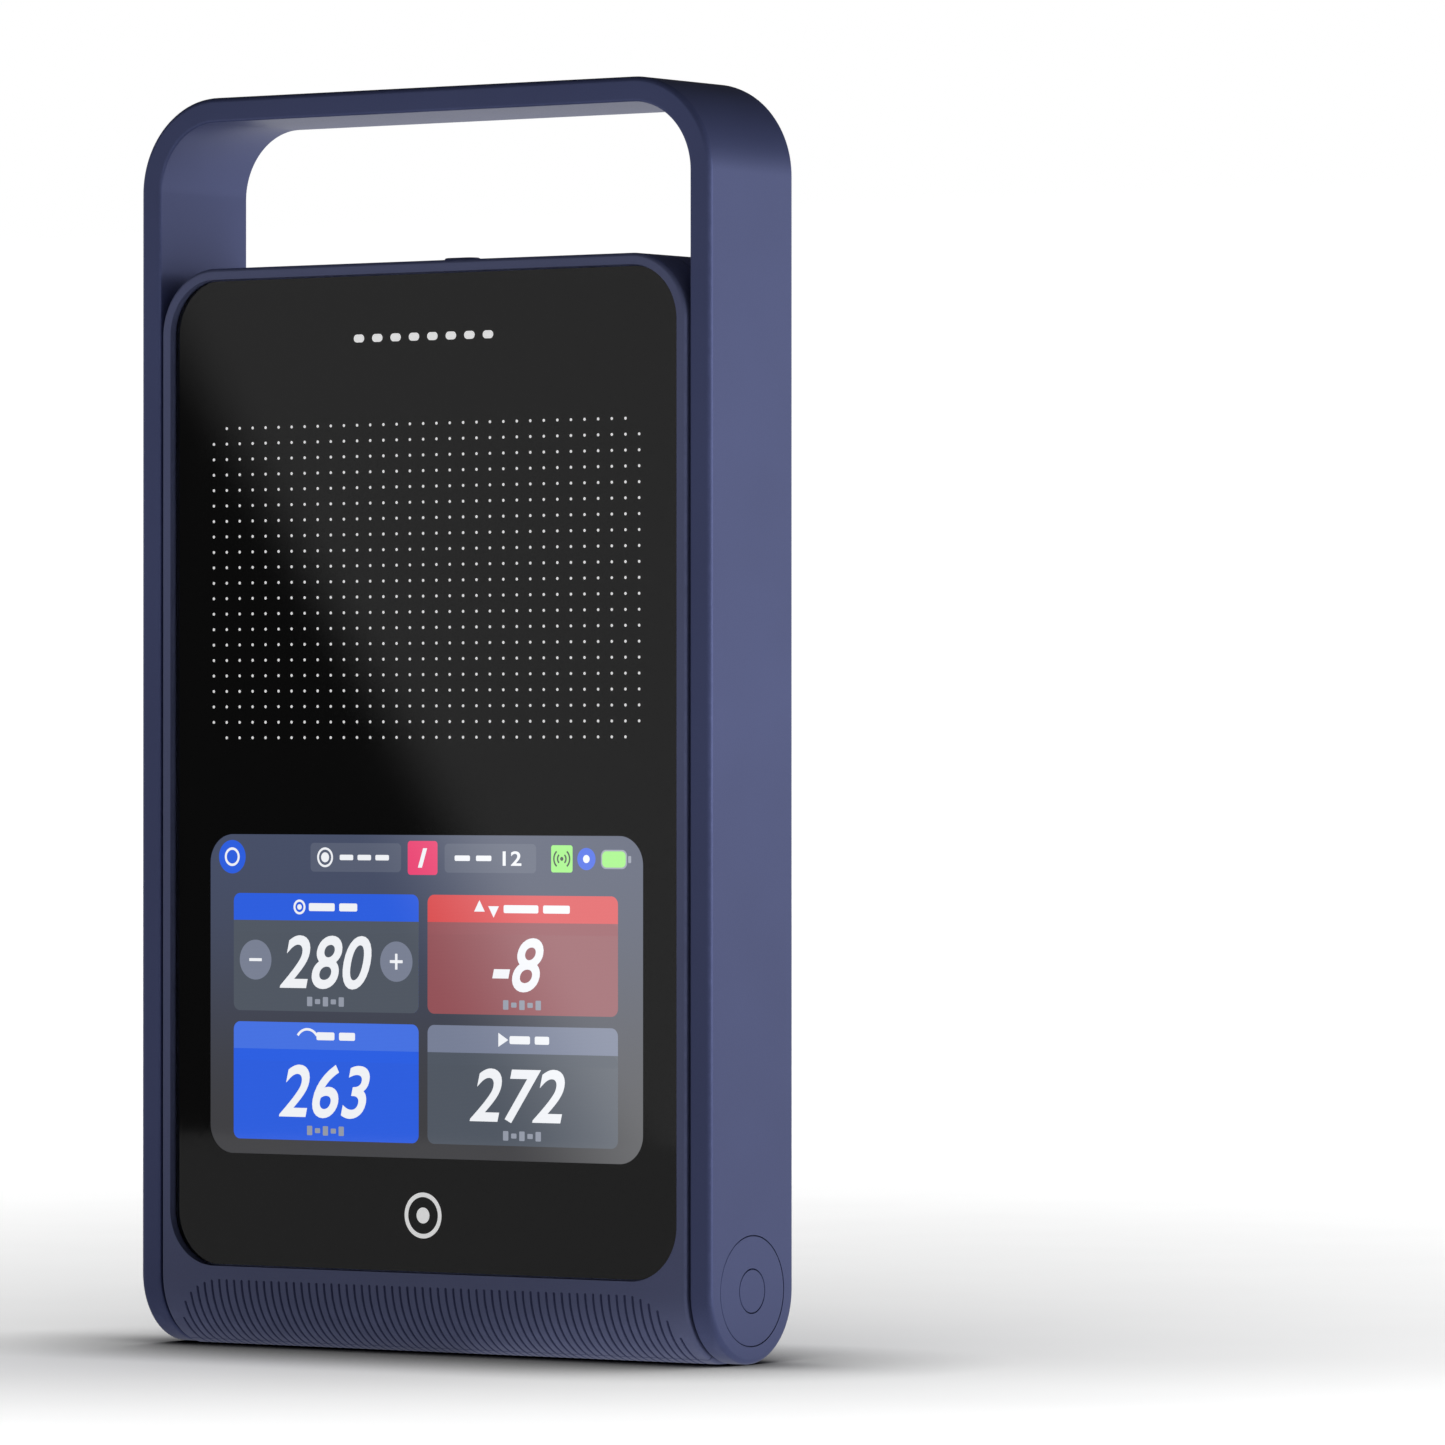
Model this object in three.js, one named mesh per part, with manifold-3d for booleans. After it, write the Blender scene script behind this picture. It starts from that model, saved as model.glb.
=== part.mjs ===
// Portable golf launch monitor: a slab housing with a radar and a screen at the front, carried by a U-shaped
// band that swings back about two bottom pivots and then lies flat behind the housing as its stand.
// Millimetres. X runs across the front to the viewer's right, Y runs from front to back, Z is up.
// The origin is on the floor, midway between the two arms and midway through the depth.
import * as THREE from 'three';
import { mergeVertices } from 'three/addons/utils/BufferGeometryUtils.js';
import Module from 'manifold-3d';

const wasm = await Module();
wasm.setup();

// ---- Driving dimensions -------------------------------------------------------------------------------
const HEIGHT = 254; // floor to the top of the handle
const WIDTH = 142; // across the handle
const BAND = 5; // thickness of the handle band
const HANDLE_DEPTH = 29; // width of the band, front to back
const HANDLE_CORNER = 19; // outer corner radius of the handle
const SIDE_GAP = 0.6; // between an arm and the side of the housing
const BODY_DEPTH = 29.6;
const BODY_TOP = 219.2;
const PANEL_WIDTH = 126;
const PANEL_BOTTOM = 16.6;
const PANEL_TOP = 216.8;
const DOOR_WIDTH = 125; // width of the opening that holds the rear door
const DOOR_BOTTOM = 171.9;
const DOOR_TOP = 216.3;
const DOOR_GAP = 0.8;
const PORT_Z = 90.5; // height of the charging port and its cover
const DISPLAY_Z = 71.8; // centre of the screen
const RADAR_Z = 155.2; // centre of the radar
const WALL = 2.4; // side and top walls
const FACE_WALL = 3.2; // front and back walls
const SEAM_Y = -6; // where the front and rear shells meet
const GAP = 0.3; // clearance between fitted pieces

// ---- Derived dimensions -------------------------------------------------------------------------------
const PIVOT_Z = HANDLE_DEPTH / 2;
const ARM_INSIDE = WIDTH / 2 - BAND;
const ARM_OUTSIDE = WIDTH / 2;
const BODY_SIDE = ARM_INSIDE - SIDE_GAP;
const BODY_BACK = BODY_DEPTH / 2;
const CORNER_X = WIDTH / 2 - HANDLE_CORNER; // every upper corner arc starts at this distance from the middle
const CAVITY_SIDE = BODY_SIDE - WALL;
const CAVITY_BACK = BODY_BACK - FACE_WALL;
const CAVITY_TOP = BODY_TOP - WALL;

const PANEL_INSET = 0.3; // how far the panel sits behind the front edge
const PANEL_THICK = 1.5;
const PANEL_FRONT = -BODY_BACK + PANEL_INSET;
const PANEL_BACK = PANEL_FRONT + PANEL_THICK;
const LEDGE_FRONT = PANEL_BACK + 0.45;
const WINDOW_MARGIN = 2; // width of the ledge that carries the panel
const WINDOW_CORNER = 20;
const PANEL_EDGE = 0.25;
const GASKET = { margin: 0.2, lift: 0.05, overhang: 0.1 };

const DOOR_THICK = 1.8;
const DOOR_LEDGE = BODY_BACK - DOOR_THICK - 0.6;
const BAY_SIDE = DOOR_WIDTH / 2 - 3; // battery bay opening inside the door ledge
const BAY_BOTTOM = DOOR_BOTTOM + 3;
const BAY_TOP = DOOR_TOP - 7;
const BAY_CORNER = 7;

const COVER_WIDTH = 17.6;
const COVER_HEIGHT = 9.1;
const COVER_THICK = 1.6;
const COVER_EDGE = 0.25;

const CHASSIS_FRONT = -5.6;
const CHASSIS_THICK = 1.6;
const CHASSIS_BACK = CHASSIS_FRONT + CHASSIS_THICK;
const BOARD_THICK = 1.6;
const BOARD_FRONT = -2;
const BOARD_BACK = BOARD_FRONT + BOARD_THICK;
const CHASSIS_SCREWS = [[-57, 24], [57, 24], [-57, 208], [57, 208]];
const BOARD_SCREWS = [[-51, 29], [51, 29], [-51, 145], [51, 145]];
const TRAY_SCREWS = [[-48, 192], [48, 192]];
const TRAY_FRONT = CHASSIS_BACK + 1.6;
const TRAY_FLOOR = TRAY_FRONT + 1.2;

const CAP_RADIUS = 10.9;
const PLUG_RADIUS = 4.3;
const CAP_THICK = 1.25;
const CAP_PLAY = 0.15; // round the cap and the plug, and their edge rounding
const CAP_LIFT = 0.05; // under the cap
const BOLT_RADIUS = 3;
const BOLT_HEAD = 5.5;
const BOLT_HEAD_THICK = 1.6;
const BOLT_SEAT = 3.2; // depth of the bolt head's seat below the arm's outer face
const BOLT_TAIL = 3.4; // how far the bolt runs past the washer
const BUSH_RADIUS = 4.5;
const WASHER_RADIUS = 5.5;
const WASHER_THICK = 0.6;
const NUT_RADIUS = 5.6;
const NUT_THICK = 2.8;
const PAD_OFFSET = 1.3; // outer face of the band to the edge of a pad groove
const PAD_GROOVE = 2.5;
const PAD_DEPTH = 1.2;
const PAD_LIFT = 0.1; // under a pad
const PAD_END = 4.7; // how far a corner pad runs on past its arc
const FOOT_PAD = [16.7, 51.6];

const OUTER_EDGE = 1.1; // rounding of the handle's outer edges
const INNER_EDGE = 0.6;
const BODY_EDGE = 0.8;
const ARC_STEPS = 8; // facets in a quarter turn of an outer shape
const INNER_ARC_STEPS = 4; // and of a piece inside the housing
const EDGE_STEPS = 2;
const TURN_STEPS = 40; // facets in a full turn of a large round
const SMALL_TURN = 16;
const SCREW_TURN = 10;

// ---- Pieces inside and on the housing: half sizes and radii -------------------------------------------
const PANEL_RECESS_MARGIN = 0.15; // the recess is this much larger all round than the panel's nominal outline
const PANEL_TRIM = -0.05; // and the panel this much smaller
const BOSS = { radius: 2.8, thread: 1.4, skin: 1.5 }; // screw bosses; `skin` is left whole at the front
const STANDOFF_RADIUS = 3;
const SCREW_CLEARANCE = 1.6;
const SCREW = { head: 2.3, headHeight: 1.3, shank: 1.1, overlap: 0.5 };
const SCREW_LIFT = 0.1; // under a screw's head
const BORE_START = 50; // bores along the pivot line begin this far from the middle
const COVER_PLAY = 0.2; // round the port cover
const PORT_OPENING = [5.4, 2.5];
const PORT_SLEEVE = [4.9, 2.05];
const PORT_MOUTH = [4.4, 1.6];
const PORT_DEPTH = 6.7;
const PORT_PLUG = [4, 1.2];
const PORT_PLUG_REACH = 4.5;
const BUTTON = [4, 2];
const BUTTON_FLANGE = [5.4, 3.2];
const BUTTON_FLANGE_THICK = 1.1;
const BUTTON_PROUD = 1.2;
const BUTTON_EDGE = 0.5;
const BUTTON_FLANGE_TOP = CAVITY_TOP - GAP;
const SWITCH = { body: 3, height: 2.4, plunger: 1.5, plungerRise: 0.6, drop: 0.75 };
const SWITCH_BOARD = { half: [8, 3.6], thick: 0.9 };
const SWITCH_LAP = 0.1; // its joined blocks overlap by this much
// Flat pieces behind the panel; `front` and `back` are distances behind the panel's back.
const GLASS = { half: [58.5, 37], corner: 2, front: 0.1, back: 1.5 };
const BACKLIGHT = { half: [57.5, 36], corner: 1.5, front: 1.4, back: 3.6 };
const BRACKET = { half: [57, 34], corner: 2, window: [44, 22], windowCorner: 4, front: 3.9, back: 4.9 };
const RADAR_BOARD = { half: [57, 35], corner: 2, front: 0.6, back: 2.2 };
const RADAR_CAN = { half: [50, 30], corner: 2, wall: 0.8, front: 2.4, clearBack: 0.4 };
const CHASSIS = { half: 60, bottom: 20.5, top: 213, corner: 6 };
const CHASSIS_WINDOWS = { heights: [60, 116], half: [40, 16], corner: 6 };
const BOARD = { half: 56, bottom: 24, top: 150, corner: 2 };
const CAN = { x: -18, z: 122, half: [19, 16], corner: 1.5, wall: 0.5, height: 2.9 };
const ANTENNA = { x: 36, z: 143, half: [10, 4], height: 1 };
const TRAY = { margin: [1, 1.4, 0.3], corner: 5, wall: 1.2, innerCorner: 4 };
const BATTERY = { half: 43, below: 1.2, above: 2.2, corner: 5, edge: 1.5, front: 0.4, back: 2.6 };
const CONNECTOR = { x: [51, 57], z: [186, 198], height: 5.9 };
const RIBBON_THICK = 0.4;
const DISPLAY_RIBBON = { x: 0, half: 12, top: DISPLAY_Z + 2, start: PANEL_BACK + 5.1, drop: 12 };
const RADAR_RIBBON = { x: 20, half: 8, top: 119.5, start: PANEL_BACK + 2.5, drop: 10 };
const RIBBON_END = BOARD_FRONT - 0.2;
const DOOR_EDGE = 0.35;
const DOOR_TABS = { x: [-36, 0, 36], half: 5, rise: [0.6, 1.8], reach: 2 };
const SEAL = { outer: -1, inner: -2.2, thick: 0.45, lift: 0.05 };
const PAD_PLAY = 0.15; // round a pad in its groove, and its edge rounding
const HINGE_BRACKET = { half: 9, top: 44, topCorner: 2, bottomCorner: 8.9 };

// ---- Solids and outlines ------------------------------------------------------------------------------
function solid(geometry) {
  const bare = geometry.clone();
  bare.deleteAttribute('normal');
  bare.deleteAttribute('uv');
  const merged = mergeVertices(bare, 1e-4);
  const source = merged.index.array;
  const kept = [];
  for (let i = 0; i < source.length; i += 3) {
    const [a, b, c] = [source[i], source[i + 1], source[i + 2]];
    if (a !== b && b !== c && c !== a) kept.push(a, b, c);
  }
  const vertProperties = merged.attributes.position.array;
  const triVerts = new Uint32Array(kept);
  return new wasm.Manifold(new wasm.Mesh({ numProp: 3, vertProperties, triVerts }));
}

function geometryOf(manifold) {
  const mesh = manifold.getMesh();
  const geometry = new THREE.BufferGeometry();
  geometry.setAttribute('position', new THREE.BufferAttribute(mesh.vertProperties, 3));
  geometry.setIndex(new THREE.BufferAttribute(mesh.triVerts, 1));
  geometry.computeVertexNormals();
  return geometry;
}

// A rectangle centred on `cx`, with one radius for its top corners and one, or 0, for its bottom corners.
function rectangle(cx, halfWidth, bottom, top, topRadius, bottomRadius = topRadius) {
  const shape = new THREE.Shape();
  const [left, right] = [cx - halfWidth, cx + halfWidth];
  shape.moveTo(right, top - topRadius);
  shape.absarc(right - topRadius, top - topRadius, topRadius, 0, Math.PI / 2);
  shape.absarc(left + topRadius, top - topRadius, topRadius, Math.PI / 2, Math.PI);
  if (bottomRadius > 0) {
    shape.absarc(left + bottomRadius, bottom + bottomRadius, bottomRadius, Math.PI, 1.5 * Math.PI);
    shape.absarc(right - bottomRadius, bottom + bottomRadius, bottomRadius, 1.5 * Math.PI, 2 * Math.PI);
  } else {
    shape.lineTo(left, bottom);
    shape.lineTo(right, bottom);
  }
  shape.closePath();
  return shape;
}

// A strip with two half-round ends, lying along whichever of its two directions is the longer.
function pill(left, right, bottom, top) {
  const shape = new THREE.Shape();
  const [width, height] = [right - left, top - bottom];
  const radius = Math.min(width, height) / 2;
  const start = width > height ? -Math.PI / 2 : 0;
  shape.absarc(right - radius, top - radius, radius, start, start + Math.PI);
  shape.absarc(left + radius, bottom + radius, radius, start + Math.PI, start + 2 * Math.PI);
  shape.closePath();
  return shape;
}

// Extrudes an outline. `edge` rounds the rim inwards; `flare` opens the two ends outwards by a chamfer.
function extrusion(shape, length, { edge = 0, flare = 0, arcSteps = ARC_STEPS } = {}) {
  const rim = edge || flare;
  return new THREE.ExtrudeGeometry(shape, {
    depth: length - 2 * rim,
    curveSegments: arcSteps / 2, // an arc gets twice this number of facets
    bevelEnabled: rim > 0,
    bevelThickness: rim,
    bevelSize: edge || -flare,
    bevelOffset: flare - edge,
    bevelSegments: edge ? EDGE_STEPS : 1,
  }).translate(0, 0, rim);
}

// An outline drawn in X and Z, filled from yFront to yBack.
function plate(shape, yFront, yBack, rims) {
  return extrusion(shape, yBack - yFront, rims).rotateX(Math.PI / 2).translate(0, yBack, 0);
}

// The same for a piece inside the housing, with coarser corners.
function innerPlate(shape, yFront, yBack, rims = {}) {
  return plate(shape, yFront, yBack, { ...rims, arcSteps: INNER_ARC_STEPS });
}

// An outline drawn in X and Y, filled from zLow to zHigh.
function upright(shape, zLow, zHigh, rims) {
  return extrusion(shape, zHigh - zLow, rims).translate(0, 0, zLow);
}

// An outline drawn in Y and Z, filled from xLow to xHigh.
function across(shape, xLow, xHigh, rims) {
  const basis = new THREE.Matrix4().makeBasis(
    new THREE.Vector3(0, 1, 0), new THREE.Vector3(0, 0, 1), new THREE.Vector3(1, 0, 0));
  return extrusion(shape, xHigh - xLow, rims).applyMatrix4(basis).translate(xLow, 0, 0);
}

function box(x0, x1, y0, y1, z0, z1) {
  return new THREE.BoxGeometry(x1 - x0, y1 - y0, z1 - z0)
    .translate((x0 + x1) / 2, (y0 + y1) / 2, (z0 + z1) / 2);
}

// A cylinder along X about the pivot line, between two distances from the middle on the side `side`.
function pivotCylinder(side, radius, inner, outer, steps = SMALL_TURN) {
  return new THREE.CylinderGeometry(radius, radius, outer - inner, steps)
    .rotateZ(Math.PI / 2).translate(side * (inner + outer) / 2, 0, PIVOT_Z);
}

function cylinderY(radius, x, z, yFront, yBack, steps = SMALL_TURN) {
  return new THREE.CylinderGeometry(radius, radius, yBack - yFront, steps)
    .translate(x, (yFront + yBack) / 2, z);
}

// A solid of revolution about the pivot line; `profile` lists [radius, distance from the middle].
function pivotLathe(profile, side) {
  const points = profile.map(([radius, x]) => new THREE.Vector2(radius, side * x));
  if (side < 0) points.reverse();
  return new THREE.LatheGeometry(points, TURN_STEPS).rotateZ(-Math.PI / 2).translate(0, 0, PIVOT_Z);
}

// Points of a quarter round from [radius, x - edge] over to [radius - edge, x].
function roundedRim(radius, x, edge, steps = EDGE_STEPS + 1) {
  const sign = Math.sign(x);
  return Array.from({ length: steps + 1 }, (_, i) => {
    const angle = (i / steps) * Math.PI / 2;
    return [radius - edge + edge * Math.cos(angle), x - sign * edge + sign * edge * Math.sin(angle)];
  });
}

// ---- Housing ------------------------------------------------------------------------------------------
// The slab stands on a drum that makes the half-round bottom; a narrow flat at floor level lets it stand.
function housingSolid() {
  const corner = BODY_SIDE - CORNER_X;
  const outline = rectangle(0, BODY_SIDE, PIVOT_Z - BODY_EDGE, BODY_TOP, corner, 0);
  const slab = solid(plate(outline, -BODY_BACK, BODY_BACK, { edge: BODY_EDGE }));
  const left = roundedRim(BODY_BACK, -BODY_SIDE, BODY_EDGE).reverse();
  const right = roundedRim(BODY_BACK, BODY_SIDE, BODY_EDGE);
  const drum = solid(pivotLathe([[0, -BODY_SIDE], ...left, ...right, [0, BODY_SIDE]], 1));
  const floor = solid(box(-WIDTH, WIDTH, -BODY_DEPTH, BODY_DEPTH, -BODY_DEPTH, 0));
  return slab.add(drum).subtract(floor);
}

function cavitySolid() {
  const corner = CAVITY_SIDE - CORNER_X;
  const outline = rectangle(0, CAVITY_SIDE, PIVOT_Z, CAVITY_TOP, corner, 0);
  const room = solid(plate(outline, -CAVITY_BACK, CAVITY_BACK));
  const drum = [[0, -CAVITY_SIDE], [CAVITY_BACK, -CAVITY_SIDE], [CAVITY_BACK, CAVITY_SIDE], [0, CAVITY_SIDE]];
  return room.add(solid(pivotLathe(drum, 1)));
}

const housing = housingSolid();
const cavity = cavitySolid();

function halfHousing(yLow, yHigh) {
  return housing.intersect(solid(box(-WIDTH, WIDTH, yLow, yHigh, -1, HEIGHT))).subtract(cavity);
}

function panelOutline(margin, corner) {
  const half = PANEL_WIDTH / 2 + margin;
  return rectangle(0, half, PANEL_BOTTOM - margin, PANEL_TOP + margin, corner ?? half - CORNER_X);
}

function frontShell() {
  let shell = halfHousing(-BODY_DEPTH, SEAM_Y - GAP / 2);
  shell = shell.subtract(solid(plate(panelOutline(PANEL_RECESS_MARGIN), -BODY_DEPTH, LEDGE_FRONT)));
  const window = panelOutline(-WINDOW_MARGIN, WINDOW_CORNER);
  shell = shell.subtract(solid(plate(window, -BODY_DEPTH, -CAVITY_BACK + 1)));
  for (const [x, z] of CHASSIS_SCREWS) {
    shell = shell.add(solid(cylinderY(BOSS.radius, x, z, LEDGE_FRONT, CHASSIS_FRONT - GAP)));
    shell = shell.subtract(solid(cylinderY(BOSS.thread, x, z, LEDGE_FRONT + BOSS.skin, 0)));
  }
  return shell;
}

function doorOutline(margin) {
  const half = DOOR_WIDTH / 2 + margin;
  return rectangle(0, half, DOOR_BOTTOM - margin, DOOR_TOP + margin, half - CORNER_X);
}

function portPill([halfWidth, halfHeight], margin = 0) {
  const [width, height] = [halfWidth + margin, halfHeight + margin];
  return pill(-width, width, PORT_Z - height, PORT_Z + height);
}

function coverOutline(margin) {
  return portPill([COVER_WIDTH / 2, COVER_HEIGHT / 2], margin);
}

function buttonOutline([halfLength, halfDepth], margin = 0) {
  const [length, depth] = [halfLength + margin, halfDepth + margin];
  return pill(-length, length, -depth, depth);
}

function pivotBore(side, radius) {
  return solid(pivotCylinder(side, radius, BORE_START, WIDTH));
}

function rearShell() {
  let shell = halfHousing(SEAM_Y + GAP / 2, BODY_DEPTH);
  shell = shell.subtract(solid(plate(doorOutline(0), DOOR_LEDGE, BODY_DEPTH)));
  const bay = rectangle(0, BAY_SIDE, BAY_BOTTOM, BAY_TOP, BAY_CORNER);
  shell = shell.subtract(solid(plate(bay, 0, BODY_DEPTH)));
  const recess = plate(coverOutline(COVER_PLAY), BODY_BACK - COVER_THICK - COVER_PLAY, BODY_DEPTH);
  shell = shell.subtract(solid(recess));
  shell = shell.subtract(solid(plate(portPill(PORT_OPENING), 0, BODY_DEPTH)));
  shell = shell.subtract(solid(upright(buttonOutline(BUTTON, GAP), CAVITY_TOP - 1, HEIGHT)));
  for (const side of [-1, 1]) shell = shell.subtract(pivotBore(side, BUSH_RADIUS + GAP));
  return shell;
}

// ---- Front panel and what sits behind it --------------------------------------------------------------
function frontPanel() {
  return solid(plate(panelOutline(PANEL_TRIM), PANEL_FRONT, PANEL_BACK, { edge: PANEL_EDGE }));
}

function panelGasket() {
  const ring = plate(panelOutline(-GASKET.margin), PANEL_BACK + GASKET.lift, LEDGE_FRONT - GASKET.lift);
  const opening = panelOutline(GASKET.overhang - WINDOW_MARGIN, WINDOW_CORNER - GASKET.margin);
  return solid(ring).subtract(solid(plate(opening, -BODY_DEPTH, 0)));
}

// A flat piece behind the panel, centred at height z, between two distances behind the panel's back.
function behindPanel(z, [halfWidth, halfHeight], corner, front, back) {
  const outline = rectangle(0, halfWidth, z - halfHeight, z + halfHeight, corner);
  return solid(innerPlate(outline, PANEL_BACK + front, PANEL_BACK + back));
}

function displayModule() {
  const glass = behindPanel(DISPLAY_Z, GLASS.half, GLASS.corner, GLASS.front, GLASS.back);
  const { half, corner, front, back } = BACKLIGHT;
  return glass.add(behindPanel(DISPLAY_Z, half, corner, front, back));
}

// Sheet-metal frame that clamps the display.
function displayBracket() {
  const { half, corner, window, windowCorner, front, back } = BRACKET;
  const opening = behindPanel(DISPLAY_Z, window, windowCorner, front - 1, back + 1);
  return behindPanel(DISPLAY_Z, half, corner, front, back).subtract(opening);
}

function radarBoard() {
  const { half, corner, front, back } = RADAR_BOARD;
  return behindPanel(RADAR_Z, half, corner, front, back);
}

// Pressed can over the back of the radar board, open towards the board.
function radarShield() {
  const { half, corner, wall, front, clearBack } = RADAR_CAN;
  const back = CHASSIS_FRONT - clearBack - PANEL_BACK;
  const inside = half.map((size) => size - wall);
  return behindPanel(RADAR_Z, half, corner, front, back)
    .subtract(behindPanel(RADAR_Z, inside, corner, front - 1, back - wall));
}

// ---- Chassis and electronics --------------------------------------------------------------------------
function drill(plateSolid, places, radius) {
  return places.reduce(
    (rest, [x, z]) => rest.subtract(solid(cylinderY(radius, x, z, -BODY_DEPTH, BODY_DEPTH))), plateSolid);
}

function chassisPlate() {
  const outline = rectangle(0, CHASSIS.half, CHASSIS.bottom, CHASSIS.top, CHASSIS.corner);
  let chassis = solid(innerPlate(outline, CHASSIS_FRONT, CHASSIS_BACK));
  const { heights, half: [halfWidth, halfHeight], corner } = CHASSIS_WINDOWS;
  for (const z of heights) {
    const window = rectangle(0, halfWidth, z - halfHeight, z + halfHeight, corner);
    chassis = chassis.subtract(solid(innerPlate(window, -BODY_DEPTH, BODY_DEPTH)));
  }
  for (const [x, z] of BOARD_SCREWS) {
    chassis = chassis.add(solid(cylinderY(STANDOFF_RADIUS, x, z, CHASSIS_FRONT, BOARD_FRONT - SCREW_LIFT)));
  }
  chassis = drill(chassis, BOARD_SCREWS, BOSS.thread);
  chassis = drill(chassis, CHASSIS_SCREWS, SCREW_CLEARANCE);
  return drill(chassis, TRAY_SCREWS, BOSS.thread);
}

function mainBoard() {
  const outline = rectangle(0, BOARD.half, BOARD.bottom, BOARD.top, BOARD.corner);
  return drill(solid(innerPlate(outline, BOARD_FRONT, BOARD_BACK)), BOARD_SCREWS, SCREW_CLEARANCE);
}

// Pressed can on the main board, open towards it.
function processorShield() {
  const { x, z, half: [halfWidth, halfHeight], corner, wall, height } = CAN;
  const front = BOARD_BACK + SCREW_LIFT;
  const shell = (inset) => rectangle(
    x, halfWidth - inset, z - halfHeight + inset, z + halfHeight - inset, corner - inset);
  return solid(innerPlate(shell(0), front, front + height))
    .subtract(solid(innerPlate(shell(wall), front - 1, front + height - wall)));
}

function usbPort() {
  const sleeve = solid(innerPlate(portPill(PORT_SLEEVE), BOARD_BACK + SCREW_LIFT, CAVITY_BACK - 0.2));
  return sleeve.subtract(solid(innerPlate(portPill(PORT_MOUTH), CAVITY_BACK - PORT_DEPTH, BODY_BACK)));
}

function wirelessAntenna() {
  const { x, z, half: [halfWidth, halfHeight], height } = ANTENNA;
  const front = BOARD_BACK + SCREW_LIFT;
  return solid(box(x - halfWidth, x + halfWidth, front, front + height, z - halfHeight, z + halfHeight));
}

function batteryTray() {
  const [side, below, above] = TRAY.margin;
  const outline = rectangle(0, BAY_SIDE + side, BAY_BOTTOM - below, BAY_TOP + above, TRAY.corner);
  const [bottom, top] = [BAY_BOTTOM - below + TRAY.wall, BAY_TOP + above - TRAY.wall];
  const inside = rectangle(0, BAY_SIDE + side - TRAY.wall, bottom, top, TRAY.innerCorner);
  const tray = solid(innerPlate(outline, TRAY_FRONT, CAVITY_BACK - GAP))
    .subtract(solid(innerPlate(inside, TRAY_FLOOR, BODY_BACK)));
  return drill(tray, TRAY_SCREWS, SCREW_CLEARANCE);
}

function batteryPack() {
  const { half, below, above, corner, edge, front, back } = BATTERY;
  const outline = rectangle(0, half, BAY_BOTTOM + below, BAY_TOP - above, corner);
  return solid(innerPlate(outline, TRAY_FLOOR + front, DOOR_LEDGE - back, { edge }));
}

function batteryConnector() {
  const front = TRAY_FLOOR + SCREW_LIFT;
  return solid(box(...CONNECTOR.x, front, front + CONNECTOR.height, ...CONNECTOR.z));
}

// A flat ribbon that rises behind the panel, passes through a chassis window and drops to the main board.
function ribbon({ x, half, top, start, drop }) {
  const path = new THREE.Shape();
  path.moveTo(start, top - drop);
  path.lineTo(start, top);
  path.lineTo(RIBBON_END, top);
  path.lineTo(RIBBON_END, top - drop);
  path.lineTo(RIBBON_END - RIBBON_THICK, top - drop);
  path.lineTo(RIBBON_END - RIBBON_THICK, top - RIBBON_THICK);
  path.lineTo(start + RIBBON_THICK, top - RIBBON_THICK);
  path.lineTo(start + RIBBON_THICK, top - drop);
  path.closePath();
  return solid(across(path, x - half, x + half));
}

function doorSeal() {
  const ring = plate(doorOutline(SEAL.outer), DOOR_LEDGE + SEAL.lift, DOOR_LEDGE + SEAL.lift + SEAL.thick);
  return solid(ring).subtract(solid(plate(doorOutline(SEAL.inner), -BODY_DEPTH, BODY_DEPTH)));
}

// Screw along Y with its head at the back, for the chassis, the board and the tray.
function screw([x, z], surface, length) {
  const headFront = surface + SCREW_LIFT;
  const head = cylinderY(SCREW.head, x, z, headFront, headFront + SCREW.headHeight, SCREW_TURN);
  const shank = cylinderY(SCREW.shank, x, z, headFront - length, headFront + SCREW.overlap, SCREW_TURN);
  return solid(head).add(solid(shank));
}

// ---- Power button -------------------------------------------------------------------------------------
function powerButton() {
  const top = upright(
    buttonOutline(BUTTON), BUTTON_FLANGE_TOP - BUTTON_EDGE, BODY_TOP + BUTTON_PROUD, { edge: BUTTON_EDGE });
  const flange = upright(
    buttonOutline(BUTTON_FLANGE), BUTTON_FLANGE_TOP - BUTTON_FLANGE_THICK, BUTTON_FLANGE_TOP);
  return solid(top).add(solid(flange));
}

// Tact switch on its own small board, just under the button's flange.
function powerSwitch() {
  const { body, height, plunger, plungerRise, drop } = SWITCH;
  const { half: [boardX, boardY], thick } = SWITCH_BOARD;
  const top = BUTTON_FLANGE_TOP - BUTTON_FLANGE_THICK - drop;
  const boardTop = top - height + SWITCH_LAP;
  return solid(box(-body, body, -body, body, top - height, top - plungerRise))
    .add(solid(box(-plunger, plunger, -plunger, plunger, top - plungerRise - SWITCH_LAP, top)))
    .add(solid(box(-boardX, boardX, -boardY, boardY, boardTop - thick, boardTop)));
}

// ---- Rear door and port cover -------------------------------------------------------------------------
function rearDoor() {
  const { half, rise: [low, high], reach } = DOOR_TABS;
  const tab = (x) => box(
    x - half, x + half, DOOR_LEDGE - reach, BODY_BACK - 1, BAY_BOTTOM + low, BAY_BOTTOM + high);
  const skin = plate(doorOutline(-DOOR_GAP), BODY_BACK - DOOR_THICK, BODY_BACK, { edge: DOOR_EDGE });
  return DOOR_TABS.x.reduce((door, x) => door.add(solid(tab(x))), solid(skin));
}

function portCover() {
  const skin = plate(coverOutline(0), BODY_BACK - COVER_THICK, BODY_BACK, { edge: COVER_EDGE });
  return solid(skin).add(solid(plate(portPill(PORT_PLUG), CAVITY_BACK - PORT_PLUG_REACH, BODY_BACK - 1)));
}

// ---- Handle -------------------------------------------------------------------------------------------
// Outline of the band at a given distance in from its outer face, open downwards past the pivots.
function bandOutline(inset, bottom) {
  const half = WIDTH / 2 - inset;
  return rectangle(0, half, bottom, HEIGHT - inset, half - CORNER_X, 0);
}

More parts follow.
